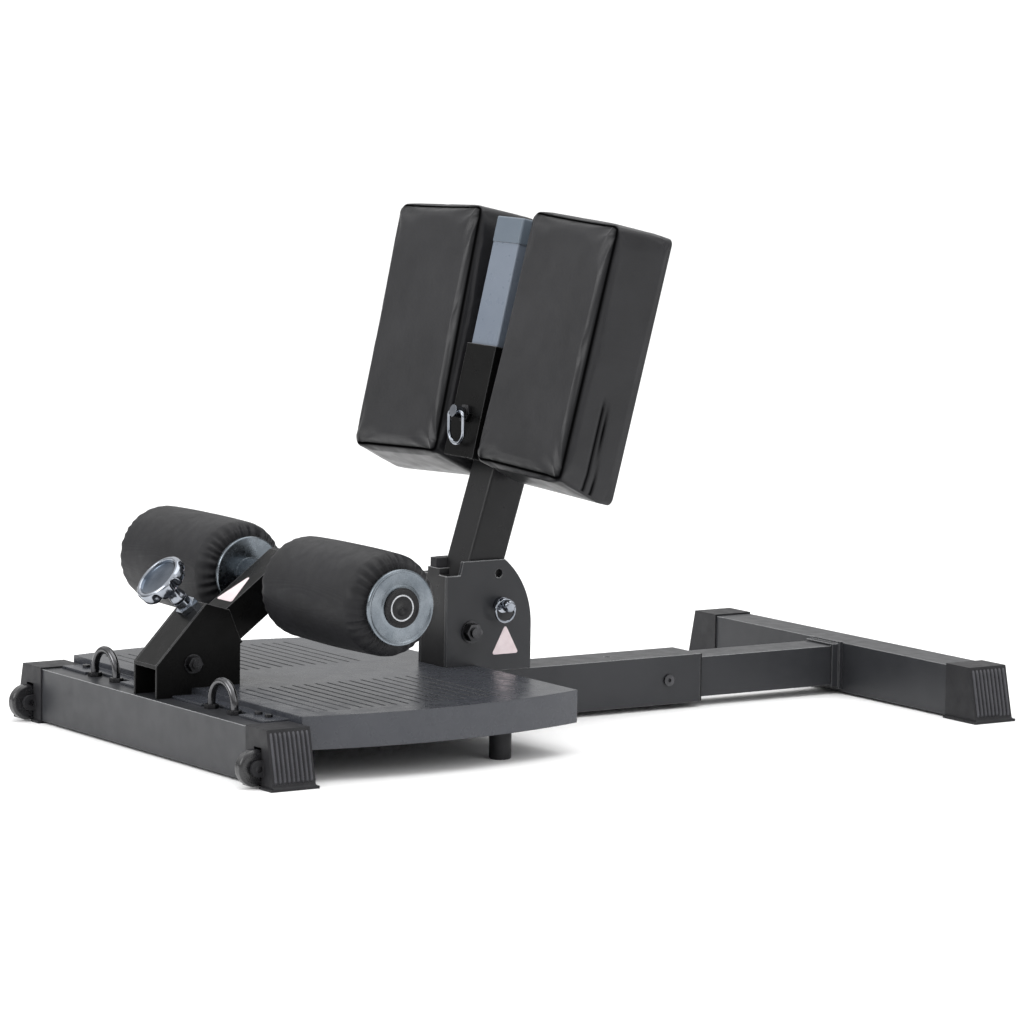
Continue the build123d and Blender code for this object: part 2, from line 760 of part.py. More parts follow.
# ---- Spring plunger -----------------------------------------------------------------------------
barrel_below = house_plate + 4
with BuildPart() as plunger_barrel:
    with BuildSketch(plunger_plane(barrel_above)):
        Circle(barrel_radius)
    extrude(amount=barrel_above + barrel_below)
    with BuildSketch(plunger_plane(7)):
        RegularPolygon(barrel_radius + 4, 6)
    extrude(amount=7)
    with BuildSketch(plunger_plane(barrel_above + 1)):
        Circle(plunger_pin + running_gap)
    extrude(amount=barrel_above + barrel_below + 2, mode=Mode.SUBTRACT)
save(plunger_barrel.part, "plunger_barrel")

with BuildPart() as plunger_stem:
    with BuildSketch(plunger_plane(knob_above_plate)):
        Circle(plunger_pin)
    extrude(amount=knob_above_plate + plunger_drop - plunger_pin * tan(face_skew) - pin_tip_gap)
save(plunger_stem.part, "plunger_stem")

with BuildPart() as plunger_knob:
    with BuildSketch(plunger_plane(knob_above_plate + knob_height)):
        Circle(knob_radius)
        with PolarLocations(knob_radius + knob_lobe / 2, 7):
            Circle(knob_lobe, mode=Mode.SUBTRACT)
    extrude(amount=knob_height)
    crown = plunger_knob.faces().sort_by(Axis((0, 0, 0), (0, plunge_y, plunge_z)))[0].edges()
    fillet(crown, radius=3)
    with BuildSketch(plunger_plane(knob_above_plate)):
        Circle(neck_radius + 3)
    extrude(amount=knob_above_plate - barrel_above - 1.5, taper=8)
    with BuildSketch(plunger_plane(knob_above_plate)):
        Circle(plunger_pin)
    extrude(amount=knob_above_plate, mode=Mode.SUBTRACT)
save(plunger_knob.part, "plunger_knob")


# ---- Post bracket -------------------------------------------------------------------------------
post_sin = sin(radians(post_tilt))
post_cos = cos(radians(post_tilt))
post_half = post_size / 2
bracket_front_y = front_y + bracket_front
pivot_y = bracket_front_y + web_thick + web_gap + post_foot * post_sin + post_half * post_cos
pivot_z = post_pivot_up
bracket_rear_y = front_y + bracket_rear
flat_rear_y = front_y + bracket_flat_rear

# Rear arc through the top's end and the shoulder, upright at the shoulder.
arc_rise = bracket_top - bracket_shoulder
arc_run = bracket_rear - bracket_flat_rear
arc_radius = (arc_rise**2 + arc_run**2) / (2 * arc_run)
arc_centre_y = bracket_rear_y - arc_radius
arc_half_angle = radians(degrees(atan2(arc_rise, flat_rear_y - arc_centre_y)) / 2)
arc_middle_y = arc_centre_y + arc_radius * cos(arc_half_angle)
arc_middle_z = bracket_shoulder + arc_radius * sin(arc_half_angle)

# The lock pin lies against the post's rear face. A second hole holds the post more upright.
pin_offset = post_half + lock_pin_radius + 0.1
lock_y = pivot_y + lock_pin_reach * post_sin + pin_offset * post_cos
lock_z = pivot_z + lock_pin_reach * post_cos - pin_offset * post_sin
upright_sin = sin(radians(upright_tilt))
upright_cos = cos(radians(upright_tilt))
upright_y = pivot_y + upright_reach * upright_sin + pin_offset * upright_cos
upright_z = pivot_z + upright_reach * upright_cos - pin_offset * upright_sin

# Plates that would stand wider than the rail turn in at the foot to keep their seat on it.
turned_in = bracket_inner - (rail_size / 2 - plate_seat)

with BuildPart() as bracket_plate_right:
    with BuildSketch(side(bracket_inner)):
        with BuildLine():
            Polyline(
                (bracket_rear_y, bracket_shoulder),
                (bracket_rear_y, rail_top),
                (bracket_front_y, rail_top),
                (bracket_front_y, bracket_step_height),
                (bracket_front_y + bracket_step_depth - 4, bracket_step_height),
                (bracket_front_y + bracket_step_depth, bracket_top),
                (flat_rear_y, bracket_top),
            )
            ThreePointArc(
                (flat_rear_y, bracket_top), (arc_middle_y, arc_middle_z), (bracket_rear_y, bracket_shoulder)
            )
        make_face()
        with Locations((pivot_y, pivot_z)):
            Circle(pivot_radius, mode=Mode.SUBTRACT)
        with Locations((lock_y, lock_z), (upright_y, upright_z)):
            Circle(lock_pin_radius + running_gap, mode=Mode.SUBTRACT)
    extrude(amount=bracket_plate)
    if turned_in > 0:
        with BuildSketch(side(bracket_inner)):
            with Locations(((bracket_front_y + web_thick + bracket_rear_y) / 2, rail_top + plate_foot / 2)):
                Rectangle(bracket_rear_y - bracket_front_y - web_thick, plate_foot)
        extrude(amount=-turned_in)
save_pair(bracket_plate_right.part, "bracket_plate")

forward_tilt = radians(post_tilt - post_tilt_forward)
seat_top = bracket_step_height + 8
bumper_gap = 0.4


def post_front_leaning(height):
    """The post's front face at that height, when the post is at the forward end of its tilt."""
    return pivot_y + (height - pivot_z) * tan(forward_tilt) - post_half / cos(forward_tilt)


seat_rear = post_front_leaning(bracket_step_height) - bumper_gap
bumper_rear = post_front_leaning(seat_top) - bumper_gap
with BuildPart() as bracket_web:
    with BuildSketch(across(bracket_front_y + web_thick)):
        with Locations((0, (rail_top + bracket_step_height) / 2)):
            Rectangle(2 * bracket_inner, bracket_step_height - rail_top)
    extrude(amount=web_thick)
    with BuildSketch(Plane.XY.offset(bracket_step_height)):
        with Locations((0, (bracket_front_y + seat_rear) / 2)):
            Rectangle(bumper_width + 8, seat_rear - bracket_front_y)
    extrude(amount=seat_top - bracket_step_height)
save(bracket_web.part, "bracket_web")

# Rubber bumper that the post meets at the forward end of its tilt.
with BuildPart() as post_bumper:
    with BuildSketch(Plane.XY.offset(seat_top)):
        with Locations((0, (bracket_front_y + bumper_rear) / 2)):
            Rectangle(bumper_width, bumper_rear - bracket_front_y)
    extrude(amount=bumper_height)
    fillet(post_bumper.edges().filter_by(Axis.Z), radius=2)
save(post_bumper.part, "post_bumper")

pivot_head = 8.0
with BuildPart() as post_pivot_bolt:
    with BuildSketch(side(0)):
        with Locations((pivot_y, pivot_z)):
            Circle(pivot_radius)
    extrude(amount=bracket_half + washer_thick + pivot_head + 3, both=True)
    with BuildSketch(side(bracket_half + washer_thick)):
        with Locations((pivot_y, pivot_z)):
            RegularPolygon(11, 6)
    extrude(amount=pivot_head)
save(post_pivot_bolt.part, "post_pivot_bolt")

# Nuts, and washers on both sides, of the two through bolts.
with BuildPart() as nuts_and_washers:
    for nut_y, nut_z, plate_face, bore, hexagon, washer, nut_height in (
        (bolt_y, bolt_z, house_half, ankle_bolt_radius, 9.2, 11, bolt_head_height),
        (pivot_y, pivot_z, bracket_half, pivot_radius, 11, 13, pivot_head),
    ):
        with BuildSketch(side(-plate_face - washer_thick)):
            with Locations((nut_y, nut_z)):
                RegularPolygon(hexagon, 6)
                Circle(bore, mode=Mode.SUBTRACT)
        extrude(amount=-nut_height)
        for washer_x in (plate_face, -plate_face - washer_thick):
            with BuildSketch(side(washer_x)):
                with Locations((nut_y, nut_z)):
                    Circle(washer)
                    Circle(bore, mode=Mode.SUBTRACT)
            extrude(amount=washer_thick)
save(nuts_and_washers.part, "nuts_and_washers")

# Quick-release pin through both plates, with a collar outside the right one.
pin_collar = 7.0
pin_head = 16.0
with BuildPart() as lock_pin:
    with BuildSketch(side(-bracket_half - 10)):
        with Locations((lock_y, lock_z)):
            Circle(lock_pin_radius)
    extrude(amount=2 * bracket_half + 10 + pin_head)
    with BuildSketch(side(bracket_half + 0.3)):
        with Locations((lock_y, lock_z)):
            Circle(lock_pin_radius + 4)
    extrude(amount=pin_collar)
    with BuildSketch(side(bracket_half + pin_head)):
        with Locations((lock_y, lock_z)):
            Circle(lock_pin_radius + 2)
    extrude(amount=pin_head / 2)
    fillet(lock_pin.faces().sort_by(Axis.X)[-1].edges(), radius=3)
save(lock_pin.part, "lock_pin")

lock_ring_x = bracket_half + (pin_collar + pin_head) / 2
lock_ring_radius = 13.0
lock_ring_wire = 1.5
lock_ring_z = lock_z - (lock_ring_radius - lock_ring_wire - lock_pin_radius - 0.3)
with BuildPart() as lock_pin_ring:
    with BuildSketch(Plane(origin=(lock_ring_x, lock_y, lock_ring_z), x_dir=(0, 1, 0), z_dir=(0, 0, 1))):
        with Locations((lock_ring_radius, 0)):
            Circle(lock_ring_wire)
    revolve(axis=Axis((lock_ring_x, lock_y, lock_ring_z), (1, 0, 0)), revolution_arc=360)
save(lock_pin_ring.part, "lock_pin_ring")


# ---- Tilting post -------------------------------------------------------------------------------
def post_plane(distance):
    """Plane square to the post at a distance up it from its pivot: sketch y points backwards."""
    origin = (0, pivot_y + distance * post_sin, pivot_z + distance * post_cos)
    return Plane(origin=origin, x_dir=(1, 0, 0), z_dir=(0, post_sin, post_cos))


post_bush_radius = pivot_radius + 3.0
with BuildPart() as post_tube:
    with BuildSketch(post_plane(-post_foot)):
        RectangleRounded(post_size, post_size, 3)
        Rectangle(post_size - 2 * tube_wall, post_size - 2 * tube_wall, mode=Mode.SUBTRACT)
    extrude(amount=post_foot + post_length)
    with BuildSketch(side(0)):
        with Locations((pivot_y, pivot_z)):
            Circle(post_bush_radius)
    extrude(amount=post_size, both=True, mode=Mode.SUBTRACT)
save(post_tube.part, "post_tube")

with BuildPart() as post_pivot_bush:
    with BuildSketch(side(0)):
        with Locations((pivot_y, pivot_z)):
            Circle(post_bush_radius)
            Circle(pivot_radius + running_gap, mode=Mode.SUBTRACT)
    extrude(amount=post_half + bracket_gap / 2, both=True)
save(post_pivot_bush.part, "post_pivot_bush")

with BuildPart() as post_top_plug:
    with BuildSketch(post_plane(post_length)):
        RectangleRounded(post_size, post_size, 3)
    extrude(amount=3)
    with BuildSketch(post_plane(post_length)):
        Rectangle(post_size - 2 * tube_wall, post_size - 2 * tube_wall)
    extrude(amount=-10)
save(post_top_plug.part, "post_top_plug")


# ---- Pad head: a guide tube in front of the post ------------------------------------------------
pad_sin = sin(radians(pad_tilt))
pad_cos = cos(radians(pad_tilt))
pad_z = pad_origin_up
head_clear = head_gap + head_wall
head_front = column_front - head_clear
head_back = column_front + column_depth + head_clear
column_middle = column_front + column_depth / 2

# The pads stand as far in front of the post as the guide tube and the thin end of its wedge need.
head_lean = radians(post_tilt - pad_tilt)
pivot_drop = pivot_z - pad_z
pad_reach = head_back + wedge_thin + post_half / cos(head_lean) + pivot_drop * pad_sin
pad_reach -= (wedge_low - pivot_drop * pad_cos) * tan(head_lean)
pad_y = pivot_y - pad_reach / (pad_cos - pad_sin * tan(head_lean))


def pad_point(back, up):
    """(y, z) of a place measured back from the pads' faces and up from their lower edge."""
    return (pad_y + up * pad_sin + back * pad_cos, pad_z + up * pad_cos - back * pad_sin)


def pad_plane(up):
    """Plane square to the pads' length: sketch x is +X, sketch y points back from their faces."""
    y, z = pad_point(0, up)
    return Plane(origin=(0, y, z), x_dir=(1, 0, 0), z_dir=(0, pad_sin, pad_cos))


def pad_face_plane(back):
    """Plane parallel to the pads' faces: sketch x is +X, sketch y is up them, extruding comes forward."""
    y, z = pad_point(back, 0)
    return Plane(origin=(0, y, z), x_dir=(1, 0, 0), z_dir=(0, -pad_cos, pad_sin))


with BuildPart() as head_sleeve:
    with BuildSketch(pad_plane(0)):
        with Locations((0, column_middle)):
            Rectangle(column_width + 2 * head_clear, column_depth + 2 * head_clear)
            Rectangle(column_width + 2 * head_gap, column_depth + 2 * head_gap, mode=Mode.SUBTRACT)
    extrude(amount=head_length)
    with BuildSketch(pad_face_plane(head_front - 1)):
        with Locations((0, height_pin_up)):
            Circle(7)
    extrude(amount=-(head_clear + 1), mode=Mode.SUBTRACT)
save(head_sleeve.part, "head_sleeve")


def front_of_post(up):
    """Distance back from the pads' faces to the post's front face, at a height up the pads."""
    drop_y = pivot_y - pad_y
    pivot_back = drop_y * pad_cos - pivot_drop * pad_sin
    pivot_up = drop_y * pad_sin + pivot_drop * pad_cos
    return pivot_back + (up - pivot_up) * tan(head_lean) - post_half / cos(head_lean)


# Welded wedge between the guide tube and the post, which lean differently.
wedge_high = head_length - 12.0
with BuildPart() as head_wedge:
    with BuildSketch(side(0)):
        with BuildLine():
            Polyline(
                pad_point(head_back, wedge_low),
                pad_point(front_of_post(wedge_low), wedge_low),
                pad_point(front_of_post(wedge_high), wedge_high),
                pad_point(head_back, wedge_high),
                close=True,
            )
        make_face()
    extrude(amount=post_half - 4, both=True)
save(head_wedge.part, "head_wedge")

with BuildPart() as height_pin_barrel:
    with BuildSketch(pad_face_plane(head_front - 9)):
        with Locations((0, height_pin_up)):
            Circle(7)
            Circle(plunger_pin + running_gap, mode=Mode.SUBTRACT)
    extrude(amount=-(9 + head_wall))
    with BuildSketch(pad_face_plane(head_front - 5)):
        with Locations((0, height_pin_up)):
            RegularPolygon(11, 6)
            Circle(7, mode=Mode.SUBTRACT)
    extrude(amount=-5)
save(height_pin_barrel.part, "height_pin_barrel")

height_pin_tip = column_front - pin_tip_gap
height_pin_front = head_front - 20
eye_back = height_pin_front + 5
eye_y, eye_z = pad_point(eye_back, height_pin_up)
eye_radius = ring_wire + 0.3
with BuildPart() as height_pin:
    with BuildSketch(pad_face_plane(height_pin_front)):
        with Locations((0, height_pin_up)):
            Circle(plunger_pin)
    extrude(amount=-(height_pin_tip - height_pin_front))
    with BuildSketch(pad_face_plane(height_pin_front)):
        with Locations((0, height_pin_up)):
            Circle(7)
    extrude(amount=-10)
    with BuildSketch(side(0)):
        with Locations((eye_y, eye_z)):
            Circle(eye_radius)
    extrude(amount=10, both=True, mode=Mode.SUBTRACT)
save(height_pin.part, "height_pin")

ring_bar = 9.0  # half of the straight bar through the eye
ring_side = 22.0
bend = ring_radius - ring_bar
with BuildPart() as height_pin_ring:
    with BuildLine():
        Line((0, eye_y, eye_z), (ring_bar, eye_y, eye_z))
        ThreePointArc(
            (ring_bar, eye_y, eye_z),
            (ring_bar + bend * sqrt(0.5), eye_y, eye_z - bend * (1 - sqrt(0.5))),
            (ring_radius, eye_y, eye_z - bend),
        )
        Line((ring_radius, eye_y, eye_z - bend), (ring_radius, eye_y, eye_z - ring_side))
        ThreePointArc(
            (ring_radius, eye_y, eye_z - ring_side),
            (0, eye_y, eye_z - ring_side - ring_radius),
            (-ring_radius, eye_y, eye_z - ring_side),
        )
        Line((-ring_radius, eye_y, eye_z - ring_side), (-ring_radius, eye_y, eye_z - bend))
        ThreePointArc(
            (-ring_radius, eye_y, eye_z - bend),
            (-ring_bar - bend * sqrt(0.5), eye_y, eye_z - bend * (1 - sqrt(0.5))),
            (-ring_bar, eye_y, eye_z),
        )
        Line((-ring_bar, eye_y, eye_z), (0, eye_y, eye_z))
    with BuildSketch(side(0)):
        with Locations((eye_y, eye_z)):
            Circle(ring_wire)
    sweep()
save(height_pin_ring.part, "height_pin_ring")


# ---- Pad column: the tube that slides in the head, and what it carries --------------------------
column_hole_pitch = 15.0
with BuildPart() as column_tube:
    with BuildSketch(pad_plane(column_start)):
        with Locations((0, column_middle)):
            RectangleRounded(column_width, column_depth, 2)
            Rectangle(column_width - 2 * column_wall, column_depth - 2 * column_wall, mode=Mode.SUBTRACT)
    extrude(amount=column_top - column_start)
    with BuildSketch(pad_face_plane(column_front - 1)):
        for step in range(int((height_pin_up - column_start - 8) // column_hole_pitch) + 1):
            with Locations((0, height_pin_up - step * column_hole_pitch)):
                Circle(plunger_pin + 0.6)
    extrude(amount=-(column_wall + 2), mode=Mode.SUBTRACT)
save(column_tube.part, "column_tube")

with BuildPart() as column_cap_piece:
    with BuildSketch(pad_plane(column_top)):
        with Locations((0, column_middle)):
            RectangleRounded(column_width + 2, column_depth + 2, 3)
    extrude(amount=column_cap)
    with BuildSketch(pad_plane(column_top)):
        with Locations((0, column_middle)):
            Rectangle(column_width - 2 * column_wall, column_depth - 2 * column_wall)
    extrude(amount=-12)
    fillet(column_cap_piece.faces().sort_by(Axis((0, 0, 0), (0, pad_sin, pad_cos)))[-1].edges(), radius=2)
save(column_cap_piece.part, "column_cap")

spacer_low = backplate_bridge + 12
spacer_high = backplate_top - 26
with BuildPart() as column_spacer:
    with BuildSketch(pad_plane(spacer_low)):
        with Locations((0, (column_front + column_depth + pad_thick) / 2)):
            Rectangle(column_width - 10, pad_thick - column_front - column_depth)
            Rectangle(column_width - 18, pad_thick - column_front - column_depth, mode=Mode.SUBTRACT)
    extrude(amount=spacer_high - spacer_low)
save(column_spacer.part, "column_spacer")

with BuildPart() as pad_backplate:
    with BuildSketch(pad_face_plane(pad_thick)):
        with BuildLine():
            Polyline(
                (-backplate_half, -backplate_drop),
                (-backplate_slot_half, -backplate_drop),
                (-backplate_slot_half, backplate_bridge),
                (backplate_slot_half, backplate_bridge),
                (backplate_slot_half, -backplate_drop),
                (backplate_half, -backplate_drop),
                (backplate_half, backplate_top),
                (-backplate_half, backplate_top),
                close=True,
            )
        make_face()
    extrude(amount=-backplate)
    lateral = pad_backplate.edges().filter_by(Axis((0, 0, 0), (0, pad_cos, -pad_sin)))
    outer_corners = lateral.filter_by(lambda edge: abs(edge.center().X) > backplate_half - 1)
    fillet(outer_corners, radius=backplate_round)
save(pad_backplate.part, "pad_backplate")

splay_cos = cos(radians(pad_splay))
splay_sin = sin(radians(pad_splay))


def splayed_plane(back):
    """Plane parallel to the right pad's face: sketch x is outwards, y up the pad, extruding comes forward."""
    y, z = pad_point(back, 0)
    outwards = (splay_cos, -splay_sin * pad_sin, -splay_sin * pad_cos)
    return Plane(origin=(pad_half_gap, y, z), x_dir=outwards, z_dir=(0, -pad_cos, pad_sin))


with BuildPart() as pad_board:
    with BuildSketch(splayed_plane(pad_thick)):
        with Locations((pad_width / 2, (pad_length - board_drop) / 2)):
            RectangleRounded(pad_width - 2 * board_inset, pad_length + board_drop - 2 * board_inset, pad_round)
    extrude(amount=board_thick)
save_both(pad_board.part, "pad_boards")

foam_thick = pad_thick - board_thick
with BuildPart() as cushion:
    with BuildSketch(splayed_plane(foam_thick)):
        with Locations((pad_width / 2, pad_length / 2)):
            RectangleRounded(pad_width, pad_length, pad_round)
    extrude(amount=foam_thick)
    fillet(cushion.faces().sort_by(Axis((0, 0, 0), (0, pad_cos, -pad_sin)))[0].edges(), radius=pad_round - 2)
save_pair(cushion.part, "cushion")

screw_rows = (backplate_bridge - 70, backplate_top - 60)
with BuildPart() as pad_screws:
    with BuildSketch(pad_face_plane(pad_thick + backplate)):
        for screw_side in (-1, 1):
            for screw_up in screw_rows:
                with Locations((screw_side * (pad_half_gap + pad_width / 2), screw_up)):
                    with GridLocations(100, 0, 2, 1):
                        Circle(7)
    extrude(amount=-3.5)
save(pad_screws.part, "pad_screws")
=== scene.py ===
"""Looks of a low training bench with ankle rollers and two tilted cushions. Metres, +Z up, +Y to the rear."""

import bpy
import numpy as np
from mathutils import Matrix, Vector


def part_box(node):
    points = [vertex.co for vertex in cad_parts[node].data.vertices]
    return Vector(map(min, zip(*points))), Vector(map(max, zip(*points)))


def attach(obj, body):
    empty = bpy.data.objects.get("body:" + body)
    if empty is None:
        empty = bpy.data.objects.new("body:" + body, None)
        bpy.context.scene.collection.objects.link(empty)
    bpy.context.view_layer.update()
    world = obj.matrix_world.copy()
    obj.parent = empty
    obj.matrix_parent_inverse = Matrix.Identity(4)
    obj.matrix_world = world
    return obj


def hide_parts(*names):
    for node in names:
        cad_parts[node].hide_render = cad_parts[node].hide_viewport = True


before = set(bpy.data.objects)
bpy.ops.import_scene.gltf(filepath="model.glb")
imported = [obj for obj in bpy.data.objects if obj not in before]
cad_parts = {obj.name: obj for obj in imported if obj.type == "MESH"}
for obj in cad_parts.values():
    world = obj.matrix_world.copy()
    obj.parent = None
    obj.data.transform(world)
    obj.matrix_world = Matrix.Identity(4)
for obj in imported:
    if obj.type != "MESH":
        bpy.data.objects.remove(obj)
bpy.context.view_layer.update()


# ---- Camera, floor and light --------------------------------------------------------------------
# A plain pale floor under soft studio light. The lens is long, so the machine shows little perspective.
view_from = Vector((4.8322, -3.1951, 0.9277))
view_azimuth = np.radians(56.53)
view_elevation = np.radians(6.73)
view_roll = np.radians(0.82)

ahead = Vector(
    (
        -np.sin(view_azimuth) * np.cos(view_elevation),
        np.cos(view_azimuth) * np.cos(view_elevation),
        -np.sin(view_elevation),
    )
)
level = Vector((np.cos(view_azimuth), np.sin(view_azimuth), 0))
upward = level.cross(ahead)
right = level * np.cos(view_roll) + upward * np.sin(view_roll)
upright = upward * np.cos(view_roll) - level * np.sin(view_roll)
camera_data = bpy.data.cameras.new("camera")
camera_data.sensor_width = 36
camera_data.lens = 176.34
camera_data.clip_end = 200
camera = bpy.data.objects.new("camera", camera_data)
camera.matrix_world = Matrix(
    [[right[i], upright[i], -ahead[i], view_from[i]] for i in range(3)] + [[0, 0, 0, 1]]
)
bpy.context.scene.collection.objects.link(camera)
bpy.context.scene.camera = camera
bpy.context.scene.view_settings.view_transform = "Standard"


def from_grid(name, grid, wrap=True, ends=True, loop=False):
    """A mesh over a grid of points: every row is joined to the next one and, if wrap is set, closed into a ring.
    The first and last rows are filled by a fan to their middle (ends) or joined to each other (loop)."""
    rows, cols = grid.shape[:2]
    points = grid.reshape(-1, 3)
    i = np.arange(rows if loop else rows - 1)[:, None]
    j = np.arange(cols if wrap else cols - 1)[None, :]
    a = i * cols + j
    b = i * cols + (j + 1) % cols
    after = (i + 1) % rows
    faces = np.stack([a, b, after * cols + (j + 1) % cols, after * cols + j], -1).reshape(-1, 4).tolist()
    if ends and not loop:
        first, last = len(points), len(points) + 1
        points = np.vstack([points, grid[0].mean(0), grid[-1].mean(0)])
        ring = np.arange(cols)
        turn = (ring + 1) % cols
        tail = (rows - 1) * cols
        faces += np.stack([turn, ring, np.full(cols, first)], -1).tolist()
        faces += np.stack([tail + ring, tail + turn, np.full(cols, last)], -1).tolist()
    return from_faces(name, points, faces)


def from_faces(name, points, faces):
    """A linked object from points and faces. A shell that holds negative volume is turned to face outwards."""
    corners = np.array([[f[0], f[k], f[k + 1]] for f in faces for k in range(1, len(f) - 1)])
    p = points[corners]
    volume = np.einsum("ij,ij->i", p[:, 0], np.cross(p[:, 1], p[:, 2])).sum()
    if volume < 0:
        faces = [f[::-1] for f in faces]
    mesh = bpy.data.meshes.new(name)
    mesh.from_pydata(points.tolist(), [], faces)
    mesh.shade_smooth()
    made = bpy.data.objects.new(name, mesh)
    bpy.context.scene.collection.objects.link(made)
    return made


floor_ring = np.linspace(0, 2 * np.pi, 96, endpoint=False)
floor_reach = np.array([0.001, 0.5, 1, 2, 4, 8, 16, 40, 90])[:, None]
floor_grid = np.stack(
    [floor_reach * np.cos(floor_ring), floor_reach * np.sin(floor_ring), np.zeros((9, 96))], -1
)
floor = from_grid("floor", floor_grid, ends=False)
floor_paint = bpy.data.materials.new("floor_paint")
floor_paint.use_nodes = True
floor_shader = floor_paint.node_tree.nodes["Principled BSDF"]
floor_shader.inputs["Base Color"].default_value = (0.97, 0.97, 0.97, 1)
floor_shader.inputs["Roughness"].default_value = 0.7
floor_shader.inputs["Specular IOR Level"].default_value = 0
floor.data.materials.append(floor_paint)

world = bpy.data.worlds.new("studio")
bpy.context.scene.world = world
world.use_nodes = True
# a white ceiling over dim walls: the light fades from overhead down to the horizon
sky = world.node_tree.nodes.new("ShaderNodeSeparateXYZ")
facing = world.node_tree.nodes.new("ShaderNodeTexCoord")
world.node_tree.links.new(facing.outputs["Generated"], sky.inputs["Vector"])
fade = world.node_tree.nodes.new("ShaderNodeMapRange")
fade.interpolation_type = "SMOOTHSTEP"
world.node_tree.links.new(sky.outputs["Z"], fade.inputs["Value"])
fade.inputs["From Min"].default_value = 0.04
fade.inputs["From Max"].default_value = 0.55
fade.inputs["To Min"].default_value = 0.4
fade.inputs["To Max"].default_value = 1.25
world.node_tree.links.new(fade.outputs["Result"], world.node_tree.nodes["Background"].inputs["Strength"])
world.node_tree.nodes["Background"].inputs["Color"].default_value = (1, 1, 1, 1)


def softbox(name, at, aim, width, height, power):
    """A rectangular soft light at a place, turned towards a point."""
    lamp = bpy.data.lights.new(name, "AREA")
    lamp.shape = "RECTANGLE"
    lamp.size, lamp.size_y, lamp.energy = width, height, power
    holder = bpy.data.objects.new(name, lamp)
    holder.location = at
    holder.rotation_euler = (Vector(aim) - Vector(at)).to_track_quat("-Z", "Y").to_euler()
    bpy.context.scene.collection.objects.link(holder)


softbox("overhead", (0.2, 0.1, 2.6), (0, 0, 0), 2.2, 2.6, 34)
softbox("front_left", (-0.6, -2.8, 1.5), (0, -0.1, 0.2), 1.8, 1.2, 30)
softbox("right_side", (2.8, 0.6, 1.3), (0, 0.1, 0.2), 1.2, 1.2, 6)


# ---- Frame tubes and brackets -------------------------------------------------------------------
# Welded steel tube and plate under a fine-grained black powder coat, with a painted highlight on its upward-facing
# edges.
def shader_of(name):
    """A new material's node tree, its surface shader and its Object coordinates."""
    made = bpy.data.materials.new(name)
    made.use_nodes = True
    tree = made.node_tree
    return made, tree, tree.nodes["Principled BSDF"], tree.nodes.new("ShaderNodeTexCoord").outputs["Object"]


def noise(tree, where, scale, detail=2.0, rough=0.5):
    """The value of a noise pattern over the given coordinates."""
    node = tree.nodes.new("ShaderNodeTexNoise")
    tree.links.new(where, node.inputs["Vector"])
    node.inputs["Scale"].default_value = scale
    node.inputs["Detail"].default_value = detail
    node.inputs["Roughness"].default_value = rough
    return node.outputs["Fac"]


def spread(tree, value, low, high, start=0.3, stop=0.7):
    """A value between start and stop, carried to the range from low to high."""
    node = tree.nodes.new("ShaderNodeMapRange")
    tree.links.new(value, node.inputs["Value"])
    node.inputs["From Min"].default_value = start
    node.inputs["From Max"].default_value = stop
    node.inputs["To Min"].default_value = low
    node.inputs["To Max"].default_value = high
    return node.outputs["Result"]


def blended(tree, value, dark, light):
    """A colour that runs from dark to light as the value goes from 0 to 1."""
    node = tree.nodes.new("ShaderNodeMix")
    node.data_type = "RGBA"
    tree.links.new(value, node.inputs["Factor"])
    node.inputs["A"].default_value = (*dark, 1)
    node.inputs["B"].default_value = (*light, 1)
    return node.outputs["Result"]


def raised(tree, height, depth, under=None, strength=1.0):
    """A bump of that depth in metres, laid over another normal."""
    node = tree.nodes.new("ShaderNodeBump")
    tree.links.new(height, node.inputs["Height"])
    node.inputs["Distance"].default_value = depth
    node.inputs["Strength"].default_value = strength
    if under is not None:
        tree.links.new(under, node.inputs["Normal"])
    return node.outputs["Normal"]


def rounded_edge(tree, radius):
    """The normal of edges eased to a radius, and how far a point is on such an edge and looks up, from 0 to 1."""
    bevel = tree.nodes.new("ShaderNodeBevel")
    bevel.samples = 4
    bevel.inputs["Radius"].default_value = radius
    flat = tree.nodes.new("ShaderNodeNewGeometry")
    dot = tree.nodes.new("ShaderNodeVectorMath")
    dot.operation = "DOT_PRODUCT"
    tree.links.new(bevel.outputs["Normal"], dot.inputs[0])
    tree.links.new(flat.outputs["True Normal"], dot.inputs[1])
    heading = tree.nodes.new("ShaderNodeSeparateXYZ")
    tree.links.new(bevel.outputs["Normal"], heading.inputs["Vector"])
    rim = tree.nodes.new("ShaderNodeMath")
    rim.operation = "MULTIPLY"
    tree.links.new(spread(tree, dot.outputs["Value"], 1, 0, 0.8, 0.995), rim.inputs[0])
    tree.links.new(spread(tree, heading.outputs["Z"], 0.2, 1, 0.05, 0.5), rim.inputs[1])
    return bevel.outputs["Normal"], rim.outputs["Value"]


